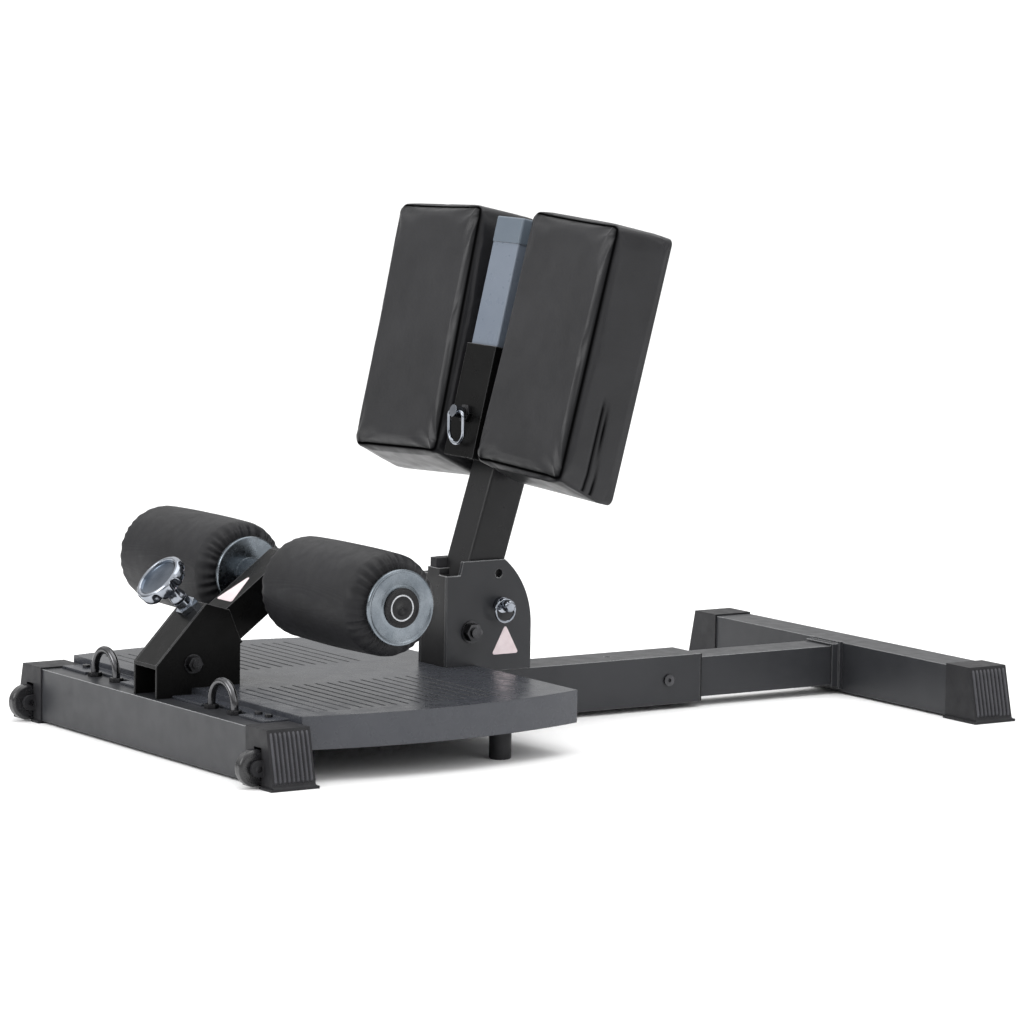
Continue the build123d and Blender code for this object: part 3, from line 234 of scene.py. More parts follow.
def powder_coat(name, dark, pale, edge, roughness, gloss=0.3, grain=0.00006):
    """Powder coat: a cloudy colour, a painted highlight on the edges that face up, an orange-peel grain and uneven
    gloss.
    """
    made, tree, shader, where = shader_of(name)
    shader.inputs["Specular IOR Level"].default_value = gloss
    eased, rim = rounded_edge(tree, 0.0016)
    clouds = blended(tree, spread(tree, noise(tree, where, 9, 4), 0, 1), dark, pale)
    # painted highlight: edges that face up take the pale edge colour, standing in for light caught there
    painted_edge_highlight = tree.nodes.new("ShaderNodeMix")
    painted_edge_highlight.data_type = "RGBA"
    tree.links.new(rim, painted_edge_highlight.inputs["Factor"])
    tree.links.new(clouds, painted_edge_highlight.inputs["A"])
    painted_edge_highlight.inputs["B"].default_value = (*edge, 1)
    tree.links.new(painted_edge_highlight.outputs["Result"], shader.inputs["Base Color"])
    tree.links.new(
        spread(tree, noise(tree, where, 60, 3), roughness - 0.05, roughness + 0.06), shader.inputs["Roughness"]
    )
    tree.links.new(raised(tree, noise(tree, where, 1400, 1), grain, eased), shader.inputs["Normal"])
    return made


def paint(material, *names):
    """Gives CAD nodes a finish in every one of their slots."""
    for name in names:
        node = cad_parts[name]
        node.data.materials.clear()
        node.data.materials.append(material)
        for face in node.data.polygons:
            face.material_index = 0


# the third colour of each powder coat is its painted edge highlight
frame_coat = powder_coat("frame_coat", (0.024, 0.025, 0.028), (0.032, 0.033, 0.037), (0.55, 0.56, 0.57), 0.36)
paint(
    frame_coat,
    "front_crossbar",
    "rear_crossbar",
    "rail_outer_tube",
    "rail_inner_tube",
    "rear_collar",
    "platform_bearers",
    "bracket_plate_right",
    "bracket_plate_left",
)
post_coat = powder_coat("post_coat", (0.010, 0.010, 0.011), (0.015, 0.015, 0.016), (0.6, 0.6, 0.61), 0.32, 0.24)
paint(post_coat, "post_tube", "head_wedge", "bracket_web", "pad_backplate")
# the same black powder coat made far darker and less glossy: painted shade on the head sleeve, the ankle housing
# and arm, and the column spacer
dark_coat = powder_coat("dark_coat", (0.003, 0.003, 0.003), (0.006, 0.006, 0.006), (0.2, 0.2, 0.205), 0.3, 0.09)
paint(
    dark_coat,
    "head_sleeve",
    "ankle_side_plate_right",
    "ankle_side_plate_left",
    "ankle_top_plate",
    "ankle_sleeve",
    "ankle_arm_tube",
    "column_spacer",
)

# ---- Foot platform ------------------------------------------------------------------------------
# A folded sheet-steel tray with pressed grooves for grip, in a smoother and glossier coat than the frame.
# its third colour is a faint painted edge highlight
deck_coat = powder_coat("deck_coat", (0.034, 0.037, 0.046), (0.046, 0.049, 0.058), (0.060, 0.063, 0.070), 0.27, 0.45, 0.00003)
paint(deck_coat, "foot_platform")


# ---- Rubber: end caps, wheels, feet, bumper -----------------------------------------------------
# Black moulded rubber with a dull, slightly dusty skin. The end caps carry upright ribs on their outer faces, in a
# paler rubber that is a painted highlight.
def moulded(name, dark, pale, roughness, grain=0.00012, scale=700):
    """Moulded rubber or plastic: dusty colour clouds and a fine pitted skin."""
    made, tree, shader, where = shader_of(name)
    shader.inputs["Specular IOR Level"].default_value = 0.25
    eased, rim = rounded_edge(tree, 0.0012)
    tree.links.new(
        blended(tree, spread(tree, noise(tree, where, 30, 5), 0, 1), dark, pale), shader.inputs["Base Color"]
    )
    tree.links.new(
        spread(tree, noise(tree, where, 90, 3), roughness - 0.06, roughness + 0.08), shader.inputs["Roughness"]
    )
    tree.links.new(raised(tree, noise(tree, where, scale, 2), grain, eased), shader.inputs["Normal"])
    return made


rubber = moulded("rubber", (0.013, 0.013, 0.015), (0.022, 0.022, 0.024), 0.5)
paint(
    rubber,
    "front_caps",
    "rear_caps",
    "platform_feet",
    "post_bumper",
)
tyre = moulded("tyre", (0.010, 0.010, 0.011), (0.018, 0.018, 0.020), 0.26)
tyre.node_tree.nodes["Principled BSDF"].inputs["Specular IOR Level"].default_value = 0.6
paint(tyre, "transport_wheel_right", "transport_wheel_left")


# the ribs take a paler copy of the caps' rubber: a painted highlight on the ribs
highlit_rib_rubber = moulded("highlit_rib_rubber", (0.055, 0.055, 0.062), (0.080, 0.080, 0.088), 0.34)


def cap_ribs(name, owner, body, count):
    """Half-round ribs up the sloping outer faces of a pair of end caps: across each rib the height is half a sine
    wave, and it dies away over the last few millimetres at both ends."""
    low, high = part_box(owner)
    foot, crest = 0.0065, 0.0625
    outer_low, outer_high = high.x - 0.003, high.x - 0.003 - 0.014
    length = np.linspace(0, 1, 14)[:, None]
    profile = np.linspace(0, 1, 9)[None, :]
    centre = (low.y + high.y) / 2 if body == "rear_base" else high.y - 0.030
    meshes = []
    for side in (1, -1):
        for k in range(count):
            y = centre + (k - (count - 1) / 2) * 0.0056
            z = foot + (crest - foot) * length + 0 * profile
            share = (z - 0.005) / 0.060
            face = outer_low + (outer_high - outer_low) * share
            ease = np.clip(np.minimum(length, 1 - length) * 14, 0, 1) ** 0.5
            x = face - 0.0004 + 0.0024 * np.sin(np.pi * profile) * ease
            meshes.append(np.stack([side * x, y + (profile - 0.5) * 0.0040 + 0 * z, z], -1))
    points, faces = [], []
    for grid in meshes:
        rows, cols = grid.shape[:2]
        i, j = np.arange(rows - 1)[:, None], np.arange(cols)[None, :]
        a = i * cols + j
        b = i * cols + (j + 1) % cols
        start = sum(len(p) for p in points)
        quads = np.stack([a, b, b + cols, a + cols], -1).reshape(-1, 4)
        if grid[0, 0, 0] < 0:
            quads = quads[:, ::-1]
        tail = (rows - 1) * cols
        faces += (quads + start).tolist()
        faces += [list(range(start, start + cols))[:: -1 if grid[0, 0, 0] > 0 else 1]]
        faces += [list(range(start + tail, start + tail + cols))[:: 1 if grid[0, 0, 0] > 0 else -1]]
        points.append(grid.reshape(-1, 3))
    ribs = from_faces(name, np.vstack(points), faces)
    ribs.data.materials.append(highlit_rib_rubber)
    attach(ribs, body)


cap_ribs("front_cap_ribs", "front_caps", "base", 9)
cap_ribs("rear_cap_ribs", "rear_caps", "rear_base", 9)

# ---- Small moulded plastic ----------------------------------------------------------------------
# Black nylon: rail bush, tube ends, pivot bush and the cores that the rollers turn on.
nylon = moulded("nylon", (0.006, 0.006, 0.007), (0.010, 0.010, 0.011), 0.4, 0.00004, 500)
paint(
    nylon,
    "rail_bush",
    "ankle_arm_cap",
    "post_top_plug",
    "post_pivot_bush",
    "roller_core_right",
    "roller_core_left",
)


# ---- Fasteners, hooks, pins and rings -----------------------------------------------------------
# Turned and bent steel: dark zinc on the bolts and hooks, bright chrome on what a hand pulls.
def metal(name, dark, pale, roughness, streak=0.00002, scale=260):
    """Plated metal: slight colour clouds, smudged gloss and very fine tool marks."""
    made, tree, shader, where = shader_of(name)
    eased, rim = rounded_edge(tree, 0.0006)
    shader.inputs["Metallic"].default_value = 1
    tree.links.new(
        blended(tree, spread(tree, noise(tree, where, 40, 4), 0, 1), dark, pale), shader.inputs["Base Color"]
    )
    tree.links.new(
        spread(tree, noise(tree, where, 120, 4), roughness * 0.7, roughness * 1.4), shader.inputs["Roughness"]
    )
    tree.links.new(raised(tree, noise(tree, where, scale, 3), streak, eased), shader.inputs["Normal"])
    return made


dark_zinc = metal("dark_zinc", (0.035, 0.035, 0.037), (0.085, 0.085, 0.09), 0.3)
paint(
    dark_zinc,
    "wheel_axles",
    "band_hook_nuts",
    "platform_screws",
    "rail_clamp_screw",
    "ankle_bolt",
    "nuts_and_washers",
    "post_pivot_bolt",
    "height_pin_barrel",
    "pad_screws",
)
hook_steel = metal("hook_steel", (0.045, 0.045, 0.048), (0.13, 0.13, 0.135), 0.18)
paint(hook_steel, "band_hooks")
chrome = metal("chrome", (0.20, 0.22, 0.25), (0.36, 0.38, 0.42), 0.14, 0.00001)
paint(chrome, "plunger_stem", "plunger_barrel", "lock_pin", "lock_pin_ring", "height_pin", "height_pin_ring")


# ---- Lobed knob ---------------------------------------------------------------------------------
# Chromed casting with seven finger scallops, a dished top and a waisted neck, screwed on the spring pin.
knob_tilt = np.radians(46.4)
knob_axis = np.array([0, -np.sin(knob_tilt), np.cos(knob_tilt)])


def lobed_knob():
    """Rings round the pin's axis: a profile gives each ring's height and radius, and the scallops take a rounded
    bite out of the rim, deepest half way up it and gone at the neck and the dish."""
    stem_low, stem_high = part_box("plunger_stem")
    axis = knob_axis
    lift = np.array([0, np.cos(knob_tilt), np.sin(knob_tilt)])
    across = np.array([1.0, 0, 0])
    middle = np.array((stem_low + stem_high) / 2)
    half = (stem_high.z - stem_low.z - 2 * 0.004 * np.sin(knob_tilt)) / 2 / np.cos(knob_tilt)
    base = middle + axis * half
    # height above the stem's end, radius, how much of the scallop reaches there
    rings = np.array(
        [
            (-0.0210, 0.0048, 0), (-0.0210, 0.0085, 0), (-0.0195, 0.0098, 0), (-0.0120, 0.0084, 0),
            (-0.0060, 0.0086, 0), (-0.0022, 0.0108, 0), (0.0000, 0.0150, 0.15), (0.0008, 0.0215, 0.7),
            (0.0025, 0.0275, 1), (0.0050, 0.0302, 1), (0.0080, 0.0312, 1), (0.0110, 0.0314, 0.9),
            (0.0135, 0.0312, 0.6), (0.0155, 0.0308, 0.3), (0.0172, 0.0298, 0.1), (0.0182, 0.0282, 0),
            (0.0186, 0.0268, 0), (0.0182, 0.0254, 0), (0.0168, 0.0242, 0), (0.0150, 0.0225, 0),
            (0.0140, 0.0180, 0), (0.0136, 0.0100, 0), (0.0134, 0.0030, 0),
        ]
    )
    fine = np.linspace(0, len(rings) - 1, 4 * len(rings))
    height, radius, bite = (np.interp(fine, np.arange(len(rings)), rings[:, k])[:, None] for k in range(3))
    turn = np.linspace(0, 2 * np.pi, 196, endpoint=False)[None, :]
    scallop = np.exp(-((np.sin(turn * 3.5) / 0.42) ** 2))
    reach = radius - 0.0068 * bite * scallop
    grid = (
        base
        + height[..., None] * axis
        + (reach * np.cos(turn))[..., None] * across
        + (reach * np.sin(turn))[..., None] * lift
    )
    return from_grid("lobed_knob", grid)


knob = lobed_knob()
dish_steel = metal("dish_steel", (0.045, 0.058, 0.078), (0.10, 0.12, 0.15), 0.2, 0.00001)
knob.data.materials.append(chrome)
knob.data.materials.append(dish_steel)
stem_top = np.array((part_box("plunger_stem")[0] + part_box("plunger_stem")[1]) / 2)
for face in knob.data.polygons:
    reach = np.array(face.center) - stem_top
    off_axis = np.linalg.norm(reach - knob_axis * (reach @ knob_axis))
    face.material_index = int(off_axis < 0.0245 and np.array(face.normal) @ knob_axis > 0.3 and reach @ knob_axis > 0.02)
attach(knob, "plunger")
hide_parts("plunger_knob")


# ---- Roller axle, flanges and badges ------------------------------------------------------------
# Turned steel discs with a bright rim and a brushed face. A plain black badge closes the axle's ends.
axle_low, axle_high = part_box("roller_axle")
axle_at = (axle_low + axle_high) / 2


def brushed(name, dark, pale, roughness):
    """Face-turned steel: fine rings about the axle, from a sine of the distance to its line, broken up by noise."""
    made, tree, shader, where = shader_of(name)
    shader.inputs["Metallic"].default_value = 1
    centred = tree.nodes.new("ShaderNodeMapping")
    centred.inputs["Location"].default_value = (0, -axle_at.y, -axle_at.z)
    centred.inputs["Scale"].default_value = (0, 1, 1)
    tree.links.new(where, centred.inputs["Vector"])
    far = tree.nodes.new("ShaderNodeVectorMath")
    far.operation = "LENGTH"
    tree.links.new(centred.outputs["Vector"], far.inputs[0])
    rings = tree.nodes.new("ShaderNodeMath")
    rings.operation = "SINE"
    wide = tree.nodes.new("ShaderNodeMath")
    wide.operation = "MULTIPLY"
    wide.inputs[1].default_value = 5200
    tree.links.new(far.outputs["Value"], wide.inputs[0])
    tree.links.new(wide.outputs["Value"], rings.inputs[0])
    eased, rim = rounded_edge(tree, 0.001)
    tree.links.new(
        blended(tree, spread(tree, noise(tree, where, 50, 4), 0, 1), dark, pale), shader.inputs["Base Color"]
    )
    tree.links.new(
        spread(tree, noise(tree, where, 150, 4), roughness - 0.05, roughness + 0.08), shader.inputs["Roughness"]
    )
    tree.links.new(raised(tree, rings.outputs["Value"], 0.000012, eased), shader.inputs["Normal"])
    return made


disc_steel = brushed("disc_steel", (0.13, 0.15, 0.17), (0.22, 0.245, 0.27), 0.25)
paint(disc_steel, "roller_axle", "flanged_hubs")


def turned(name, profile, side, segments=120):
    """A profile of (distance from the machine's middle, radius) turned round the roller axle's line."""
    along = side * profile[:, 0][:, None]
    radius = profile[:, 1][:, None]
    turn = np.linspace(0, 2 * np.pi, segments, endpoint=False)[None, :]
    grid = np.stack(
        [along + 0 * turn, axle_at.y + radius * np.cos(turn), axle_at.z + radius * np.sin(turn)], -1
    )
    return from_grid(name, grid, loop=True, ends=False)


flange_low, flange_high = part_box("end_flanges")
face = flange_high.x
for side, word in ((1, "right"), (-1, "left")):
    outline = np.array(
        [
            (face - 0.0060, 0.0126), (face - 0.0060, 0.0405), (face - 0.0057, 0.0414), (face - 0.0050, 0.0419),
            (face - 0.0040, 0.0420), (face - 0.0014, 0.0420), (face - 0.0006, 0.0417), (face - 0.0001, 0.0410),
            (face - 0.0000, 0.0400), (face - 0.0001, 0.0388), (face - 0.0006, 0.0383), (face - 0.0010, 0.0379),
            (face - 0.0011, 0.0370), (face - 0.0011, 0.0262), (face - 0.0010, 0.0250), (face - 0.0005, 0.0245),
            (face - 0.0002, 0.0238), (face - 0.0002, 0.0126),
        ]
    )
    disc = turned(f"end_disc_{word}", outline, side)
    disc.data.materials.append(disc_steel)
    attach(disc, "ankle_arm")
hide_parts("end_flanges")

badge_black = moulded("badge_black", (0.005, 0.005, 0.006), (0.009, 0.009, 0.010), 0.26, 0.00001, 300)
badge_ring = metal("badge_ring", (0.4, 0.41, 0.43), (0.52, 0.53, 0.55), 0.25)
badge_low, badge_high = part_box("flange_badges")
crown = badge_high.x
for side, word in ((1, "right"), (-1, "left")):
    cup = np.array(
        [
            (crown - 0.0030, 0.0004), (crown - 0.0030, 0.0215), (crown - 0.0022, 0.0220), (crown - 0.0010, 0.0219),
            (crown - 0.0002, 0.0212), (crown - 0.0000, 0.0203), (crown - 0.0003, 0.0195), (crown - 0.0010, 0.0191),
            (crown - 0.0012, 0.0180), (crown - 0.0008, 0.0100), (crown - 0.0006, 0.0004),
        ]
    )
    badge = turned(f"badge_{word}", cup, side, 96)
    badge.data.materials.append(badge_black)
    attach(badge, "ankle_arm")
    inlay = np.array(
        [
            (crown - 0.0012, 0.0128), (crown - 0.0006, 0.0129), (crown - 0.0004, 0.0133), (crown - 0.0004, 0.0143),
            (crown - 0.0006, 0.0147), (crown - 0.0013, 0.0148),
        ]
    )
    band = turned(f"badge_band_{word}", inlay, side, 96)
    band.data.materials.append(badge_ring)
    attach(band, "ankle_arm")
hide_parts("flange_badges")


# ---- Rollers ------------------------------------------------------------------------------------
# Foam on a nylon core in a black woven cover. Elastic gathers the cover over both ends into small pleats.
def cover_cloth(name, dark, pale, roughness):
    """Close-woven nylon: two crossed sine waves round and along the roller, under soft colour clouds."""
    made, tree, shader, where = shader_of(name)
    weave = []
    for direction in ("X", "Y"):
        wave = tree.nodes.new("ShaderNodeTexWave")
        wave.bands_direction = direction
        wave.inputs["Scale"].default_value = 420
        wave.inputs["Distortion"].default_value = 0.6
        tree.links.new(where, wave.inputs["Vector"])
        weave.append(wave.outputs["Fac"])
    crossed = tree.nodes.new("ShaderNodeMath")
    crossed.operation = "MULTIPLY"
    tree.links.new(weave[0], crossed.inputs[0])
    tree.links.new(weave[1], crossed.inputs[1])
    tree.links.new(
        blended(tree, spread(tree, noise(tree, where, 14, 5), 0, 1), dark, pale), shader.inputs["Base Color"]
    )
    tree.links.new(
        spread(tree, noise(tree, where, 70, 3), roughness - 0.05, roughness + 0.06), shader.inputs["Roughness"]
    )
    shader.inputs["Specular IOR Level"].default_value = 0.2
    shader.inputs["Sheen Weight"].default_value = 0.02
    shader.inputs["Sheen Roughness"].default_value = 0.4
    soft = raised(tree, noise(tree, where, 45, 3), 0.0003)
    tree.links.new(raised(tree, crossed.outputs["Value"], 0.00006, soft), shader.inputs["Normal"])
    return made


roller_cloth = cover_cloth("roller_cloth", (0.008, 0.008, 0.009), (0.013, 0.013, 0.015), 0.5)


def roller(side, word):
    """A profile turned round the axle: a barrel that swells a millimetre at its middle, quarter rounds at its ends
    and end walls that sink towards the axle. Pleats are a sum of two waves round the axle with uneven spacing,
    nothing on the barrel and deepest on the end walls."""
    low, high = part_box(f"roller_pad_{word}")
    inner, outer = min(abs(low.x), abs(high.x)), max(abs(low.x), abs(high.x))
    full = (high.z - low.z) / 2
    bend = 0.021
    quarter = np.linspace(0, np.pi / 2, 22)
    wall = np.linspace(0.0215, full - bend, 18)
    sink = 0.0030 * (1 - (wall - wall[0]) / (wall[-1] - wall[0])) ** 1.5
    start_x = np.concatenate([inner + 0.001 + sink, inner + 0.001 + bend * (1 - np.cos(quarter[1:]))])
    start_r = np.concatenate([wall, full - bend + bend * np.sin(quarter[1:])])
    gap = np.linspace(0, 1, 44)[1:-1]
    barrel_x = start_x[-1] + (inner + outer - 2 * start_x[-1]) * gap
    barrel_r = full - 0.0012 + 0.0012 * np.sin(np.pi * gap)
    start_r = start_r - 0.0012 * (start_r / full) ** 4
    x = np.concatenate([start_x, barrel_x, (inner + outer - start_x)[::-1]])
    r = np.concatenate([start_r, barrel_r, start_r[::-1]])
    bore = np.linspace(x[-1], x[0], 8)[1:-1]
    x = np.concatenate([x, bore])[:, None]
    r = np.concatenate([r, np.full(6, 0.0203)])[:, None]
    turn = np.linspace(0, 2 * np.pi, 420, endpoint=False)[None, :]
    uneven = turn + 0.05 * np.sin(3 * turn + side) + 0.035 * np.sin(7 * turn + 1.3)
    gather = 0.72 * np.cos(30 * uneven) + 0.28 * np.cos(17 * uneven + 0.8)
    from_end = np.minimum(x - inner, outer - x)
    on_wall = np.clip(1 - from_end / 0.024, 0, 1) ** 1.3 * np.clip((r - 0.030) / 0.012, 0, 1)
    depth = 0.0021 * on_wall * (gather - 1) / 2
    slack = 0.0003 * np.sin(5 * turn + 2) * np.sin(np.pi * np.clip(from_end / 0.1, 0, 1)) * (r > 0.05)
    ripple = 0.0010 * np.clip(1 - from_end / 0.030, 0, 1) ** 2 * (r > 0.04) * (gather - 1) / 2
    inwards = np.where(x < (inner + outer) / 2, 1, -1)
    along = x - inwards * depth * 1.3
    radius = r + depth * 0.6 + ripple + slack - 0.0005 * (r > 0.05)
    grid = np.stack(
        [side * along, axle_at.y + radius * np.cos(turn), axle_at.z + radius * np.sin(turn)], -1
    )
    made = from_grid(f"roller_cover_{word}", grid, loop=True, ends=False)
    made.data.materials.append(roller_cloth)
    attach(made, f"roller_{word}")
    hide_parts(f"roller_pad_{word}")


roller(1, "right")
roller(-1, "left")


# ---- Plain triangle plates ----------------------------------------------------------------------
# Thin enamelled plates glued on the post bracket and on top of the ankle arm. They carry no marks.
def enamel(name, dark, pale):
    """Pale enamel with faint clouds and a smooth gloss."""
    made, tree, shader, where = shader_of(name)
    tree.links.new(
        blended(tree, spread(tree, noise(tree, where, 80, 4), 0, 1), dark, pale), shader.inputs["Base Color"]
    )
    tree.links.new(spread(tree, noise(tree, where, 200, 3), 0.3, 0.42), shader.inputs["Roughness"])
    tree.links.new(raised(tree, noise(tree, where, 300, 2), 0.00002), shader.inputs["Normal"])
    return made


plate_enamel = enamel("plate_enamel", (0.72, 0.60, 0.62), (0.82, 0.71, 0.73))


def triangle(name, centre, across, along, out, half, tall, body):
    """A rounded triangle: three straight sides joined by arcs of equal radius, given a thickness along its normal
    with the top edge drawn in a little."""
    centre, across, along, out = (np.array(v, float) for v in (centre, across, along, out))
    nook = 0.0022
    tips = np.array([(0, tall * 0.62), (-half, -tall * 0.38), (half, -tall * 0.38)])
    outline = []
    for tip, start in zip(tips, (30, 150, 270)):
        inner_tip = tip * (1 - 2 * nook / tall)
        arc = np.radians(start + np.linspace(0, 120, 9))
        outline.append(inner_tip + nook * np.stack([np.cos(arc), np.sin(arc)], -1))
    edge = np.vstack(outline)
    layers = [(0.0, 1.0), (0.00035, 1.0), (0.0005, 0.985)]
    grid = np.stack(
        [centre + out * h + (edge[:, :1] * s) * across + (edge[:, 1:] * s) * along for h, s in layers]
    )
    made = from_grid(name, grid)
    made.data.shade_flat()
    made.data.materials.append(plate_enamel)
    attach(made, body)


plate_low, plate_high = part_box("bracket_plate_right")
triangle(
    "bracket_triangle", (plate_high.x - 0.0001, plate_low.y + 0.0805, plate_low.z + 0.0316),
    (0, 1, 0), (0, 0, 1), (1, 0, 0), 0.0172, 0.032, "base",
)
arm_slope = np.radians(36.3)
arm_run = np.array([0, np.cos(arm_slope), np.sin(arm_slope)])
arm_up = np.array([0, -np.sin(arm_slope), np.cos(arm_slope)])
plaque_at = np.array(axle_at) - arm_run * 0.047 + arm_up * 0.0199
triangle("arm_triangle", plaque_at, (1, 0, 0), arm_run, arm_up, 0.0155, 0.040, "ankle_arm")

# ---- Pad column ---------------------------------------------------------------------------------
# Flat steel tube in a pale blue-grey coat, closed by a cap of a slightly darker blue-grey.
# the third colour of each coat is its painted edge highlight
column_coat = powder_coat("column_coat", (0.125, 0.150, 0.190), (0.165, 0.190, 0.230), (0.38, 0.41, 0.45), 0.3)
cap_coat = powder_coat("cap_coat", (0.095, 0.120, 0.150), (0.125, 0.150, 0.18), (0.3, 0.33, 0.37), 0.34)
paint(column_coat, "column_tube")
paint(cap_coat, "column_cap")

# ---- Cushions -----------------------------------------------------------------------------------
# Firm foam blocks in black leatherette, sewn round the front edge and stapled behind their boards.
def leatherette(name, dark, pale, roughness):
    """Embossed leatherette: small pebbles from a cell pattern, softer creases from noise, a satin gloss, and
    painted shade that darkens the seam and crease grooves.
    """
    made, tree, shader, where = shader_of(name)
    cells = tree.nodes.new("ShaderNodeTexVoronoi")
    cells.feature = "SMOOTH_F1"
    cells.inputs["Scale"].default_value = 620
    tree.links.new(where, cells.inputs["Vector"])
    fold = tree.nodes.new("ShaderNodeAttribute")
    fold.attribute_name = "fold"
    # painted shade: the seam and crease grooves marked by the fold value turn almost black and lose their gloss
    shaded = tree.nodes.new("ShaderNodeMix")
    shaded.data_type = "RGBA"
    tree.links.new(fold.outputs["Fac"], shaded.inputs["Factor"])
    tree.links.new(blended(tree, spread(tree, noise(tree, where, 12, 5), 0, 1), dark, pale), shaded.inputs["A"])
    shaded.inputs["B"].default_value = (0.001, 0.001, 0.001, 1)
    tree.links.new(shaded.outputs["Result"], shader.inputs["Base Color"])
    tree.links.new(spread(tree, fold.outputs["Fac"], 0.3, 0.0, 0, 0.8), shader.inputs["Specular IOR Level"])
    tree.links.new(
        spread(tree, noise(tree, where, 50, 4), roughness - 0.05, roughness + 0.07), shader.inputs["Roughness"]
    )
    creases = raised(tree, noise(tree, where, 16, 3), 0.0008)
    tree.links.new(raised(tree, cells.outputs["Distance"], 0.00006, creases), shader.inputs["Normal"])
    return made


pad_skin = leatherette("pad_skin", (0.012, 0.012, 0.0135), (0.019, 0.019, 0.021), 0.38)
paint(pad_skin, "pad_boards")
pad_tilt, pad_splay = np.radians(13.5), np.radians(2.4)
pad_size = np.array([0.175, 0.293, 0.0816])  # across, along, thick with the board


def swollen(made, held):
    """The mesh after a short spell of inside pressure with no gravity. Held points stay put, and no point
    travels more than a millimetre and a half."""
    bpy.context.view_layer.objects.active = made
    pins = made.vertex_groups.new(name="held")
    pins.add(np.nonzero(held)[0].tolist(), 1.0, "REPLACE")
    start = np.empty(len(made.data.vertices) * 3)
    made.data.vertices.foreach_get("co", start)
    start = start.reshape(-1, 3)
    cloth = made.modifiers.new("cloth", "CLOTH")
    cloth.settings.quality = 6
    cloth.settings.mass = 0.3
    cloth.settings.use_pressure = True
    cloth.settings.uniform_pressure_force = 0.8
    cloth.settings.tension_stiffness = 25
    cloth.settings.compression_stiffness = 25
    cloth.settings.bending_stiffness = 2
    cloth.settings.effector_weights.gravity = 0
    cloth.settings.vertex_group_mass = "held"
    cloth.point_cache.frame_start = 1
    cloth.point_cache.frame_end = 20
    for moment in range(1, 21):
        bpy.context.scene.frame_set(moment)
    after = made.evaluated_get(bpy.context.evaluated_depsgraph_get()).data
    end = np.empty(len(after.vertices) * 3)
    after.vertices.foreach_get("co", end)
    made.modifiers.remove(cloth)
    bpy.context.scene.frame_set(1)
    travel = end.reshape(-1, 3) - start
    far = np.linalg.norm(travel, axis=1, keepdims=True)
    travel *= np.minimum(1, 0.0015 / np.maximum(far, 1e-9))
    made.data.vertices.foreach_set("co", (start + travel).ravel())
    made.vertex_groups.clear()
    made.data.update()


def ticks(half):
    """Places along one edge of the block: a millimetre apart near both ends and about five between them."""
    near = np.arange(0, 0.0145, 0.0012)
    between = np.linspace(half - 0.0150, 0.0150 - half, 2 * int(half / 0.0055) + 1)
    return np.concatenate([half - near, between, near[::-1] - half])[::-1]


def block(half):
    """Points and outward faces of a box: a grid over each side, the sides sharing the points of their edges."""
    points, faces = [], []
    for axis in range(3):
        row, col = (axis + 1) % 3, (axis + 2) % 3
        u, v = np.meshgrid(ticks(half[row]), ticks(half[col]), indexing="ij")
        i, j = np.arange(u.shape[0] - 1)[:, None], np.arange(u.shape[1] - 1)[None, :]
        a = i * u.shape[1] + j
        quads = np.stack([a, a + u.shape[1], a + u.shape[1] + 1, a + 1], -1).reshape(-1, 4)
        for sign in (1, -1):
            wall = np.empty((u.size, 3))
            wall[:, axis], wall[:, row], wall[:, col] = sign * half[axis], u.ravel(), v.ravel()
            faces.append(quads[:, ::sign] + sum(len(p) for p in points))
            points.append(wall)
    shared, back = np.unique(np.round(np.vstack(points), 7), axis=0, return_inverse=True)
    return shared, back.ravel()[np.vstack(faces)]


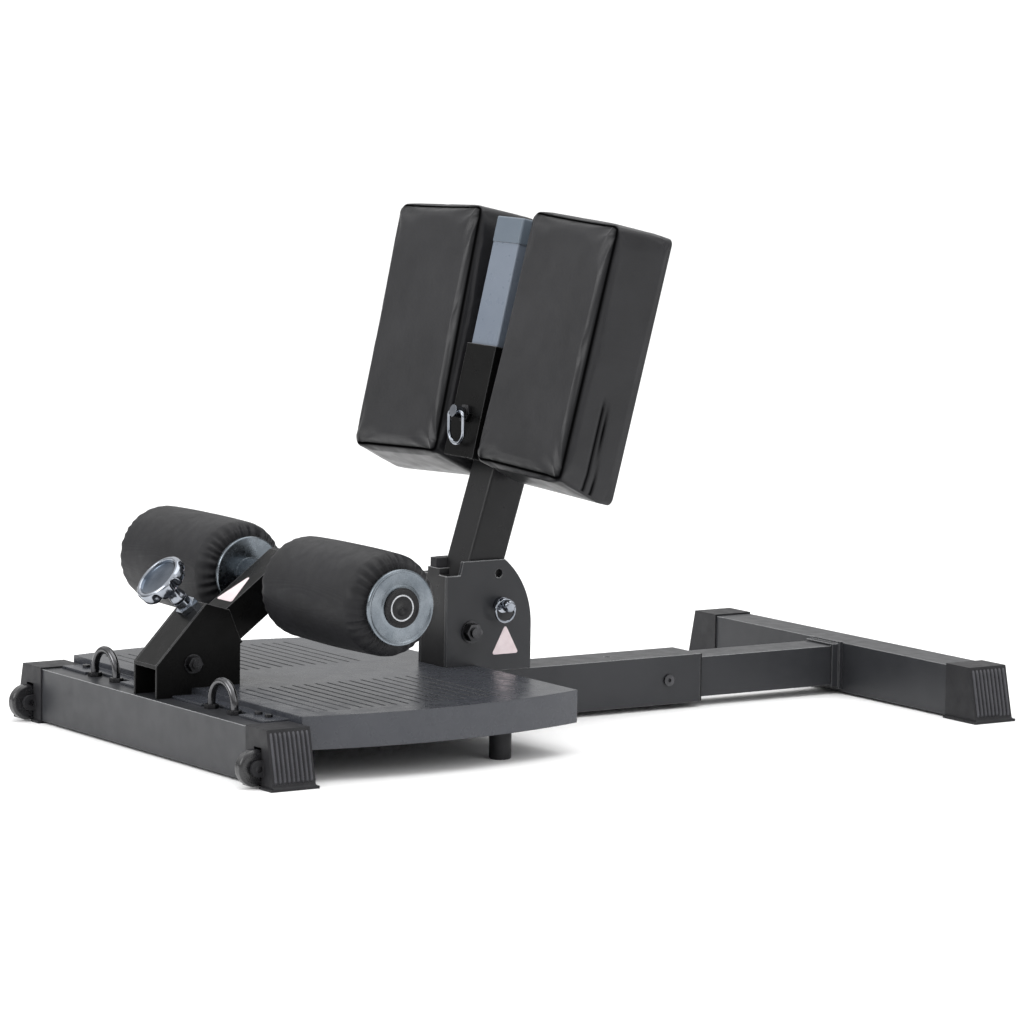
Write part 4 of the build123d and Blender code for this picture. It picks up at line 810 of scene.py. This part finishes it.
def cushion(side, word):
    """A box whose points are pulled to a fixed distance from a smaller box inside it, which rounds its edges. Its
    outer wall and the rear of its lower end are drawn out a little. It is swollen, then seams and creases press
    grooves into it: each groove is a bell curve of the distance to its line."""
    forward = np.array([0, -np.cos(pad_tilt), np.sin(pad_tilt)])
    outward = np.array(
        [np.cos(pad_splay), -np.sin(pad_splay) * np.sin(pad_tilt), -np.sin(pad_splay) * np.cos(pad_tilt)]
    )
    along = np.cross(forward, outward)
    basis = np.stack([outward, along, forward])
    half = pad_size / 2
    boxed, faces = block(half)
    ahead = np.clip(boxed[:, 2:] / half[2], 0, 1)
    edge = np.array([0.008, 0.008, 0.003]) + np.array([0.005, 0.005, 0.0045]) * ahead
    core = np.clip(boxed, edge - half, half - edge)
    away = (boxed - core) / edge
    local = core + edge * away / np.linalg.norm(away, axis=-1, keepdims=True)
    low = (half[1] - local[:, 1]) / pad_size[1]
    rear = (half[2] - local[:, 2]) / pad_size[2]
    local[:, 0] += (local[:, 0] / pad_size[0] + 0.5) * (0.0020 + 0.0030 * low)
    local[:, 1] -= 0.0152 * np.minimum(1, rear / 0.8) * low**4
    corner = np.array([0.041, -0.49175 + 0.4077, 0.3149])
    middle = corner + outward * half[0] + along * half[1] - forward * half[2]
    if side < 0:
        faces = faces[:, ::-1]
    mirror = np.array([side, 1, 1])
    made = from_faces(f"cushion_cover_{word}", (middle + local @ basis) * mirror, faces.tolist())
    swollen(made, local[:, 2] < 0.004 - half[2])
    at = np.empty(len(made.data.vertices) * 3)
    made.data.vertices.foreach_get("co", at)
    at = (at.reshape(-1, 3) * mirror - middle) @ basis.T
    normal = np.empty(len(made.data.vertices) * 3)
    made.data.vertices.foreach_get("normal", normal)
    normal = (normal.reshape(-1, 3) * mirror) @ basis.T
    # the sewn edge runs round the front face, on the block's corner
    wide = boxed[:, 0] + half[0], half[0] - boxed[:, 0]
    tall = boxed[:, 1] + half[1], half[1] - boxed[:, 1]
    inside = np.minimum(np.minimum(*wide), np.minimum(*tall))
    depth = half[2] - boxed[:, 2]
    seam = np.exp(-((np.hypot(inside * 0.7, depth - 0.0025) / 0.0032) ** 2))
    # two creases climb from the lower end of the outer side
    height = tall[0]
    on_side = (wide[1] < 0.0005) * np.clip((0.104 - height) / 0.014, 0, 1)
    first = np.exp(-(((depth - 0.0375) / 0.0014) ** 2))
    second = np.exp(-(((depth - 0.0425 - 0.06 * np.clip(0.1 - height, 0, 1)) / 0.0014) ** 2))
    crease = on_side * np.maximum(first, second)
    at -= normal * (0.0008 * seam + 0.0014 * crease)[:, None]
    made.data.vertices.foreach_set("co", ((middle + at @ basis) * mirror).ravel())
    # the fold value marks the seam and crease grooves for painted shade in the leatherette
    made.data.attributes.new("fold", "FLOAT", "POINT").data.foreach_set("value", np.maximum(seam, crease))
    made.data.update()
    made.data.materials.append(pad_skin)
    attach(made, "pads")
    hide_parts(f"cushion_{word}")


cushion(1, "right")
cushion(-1, "left")
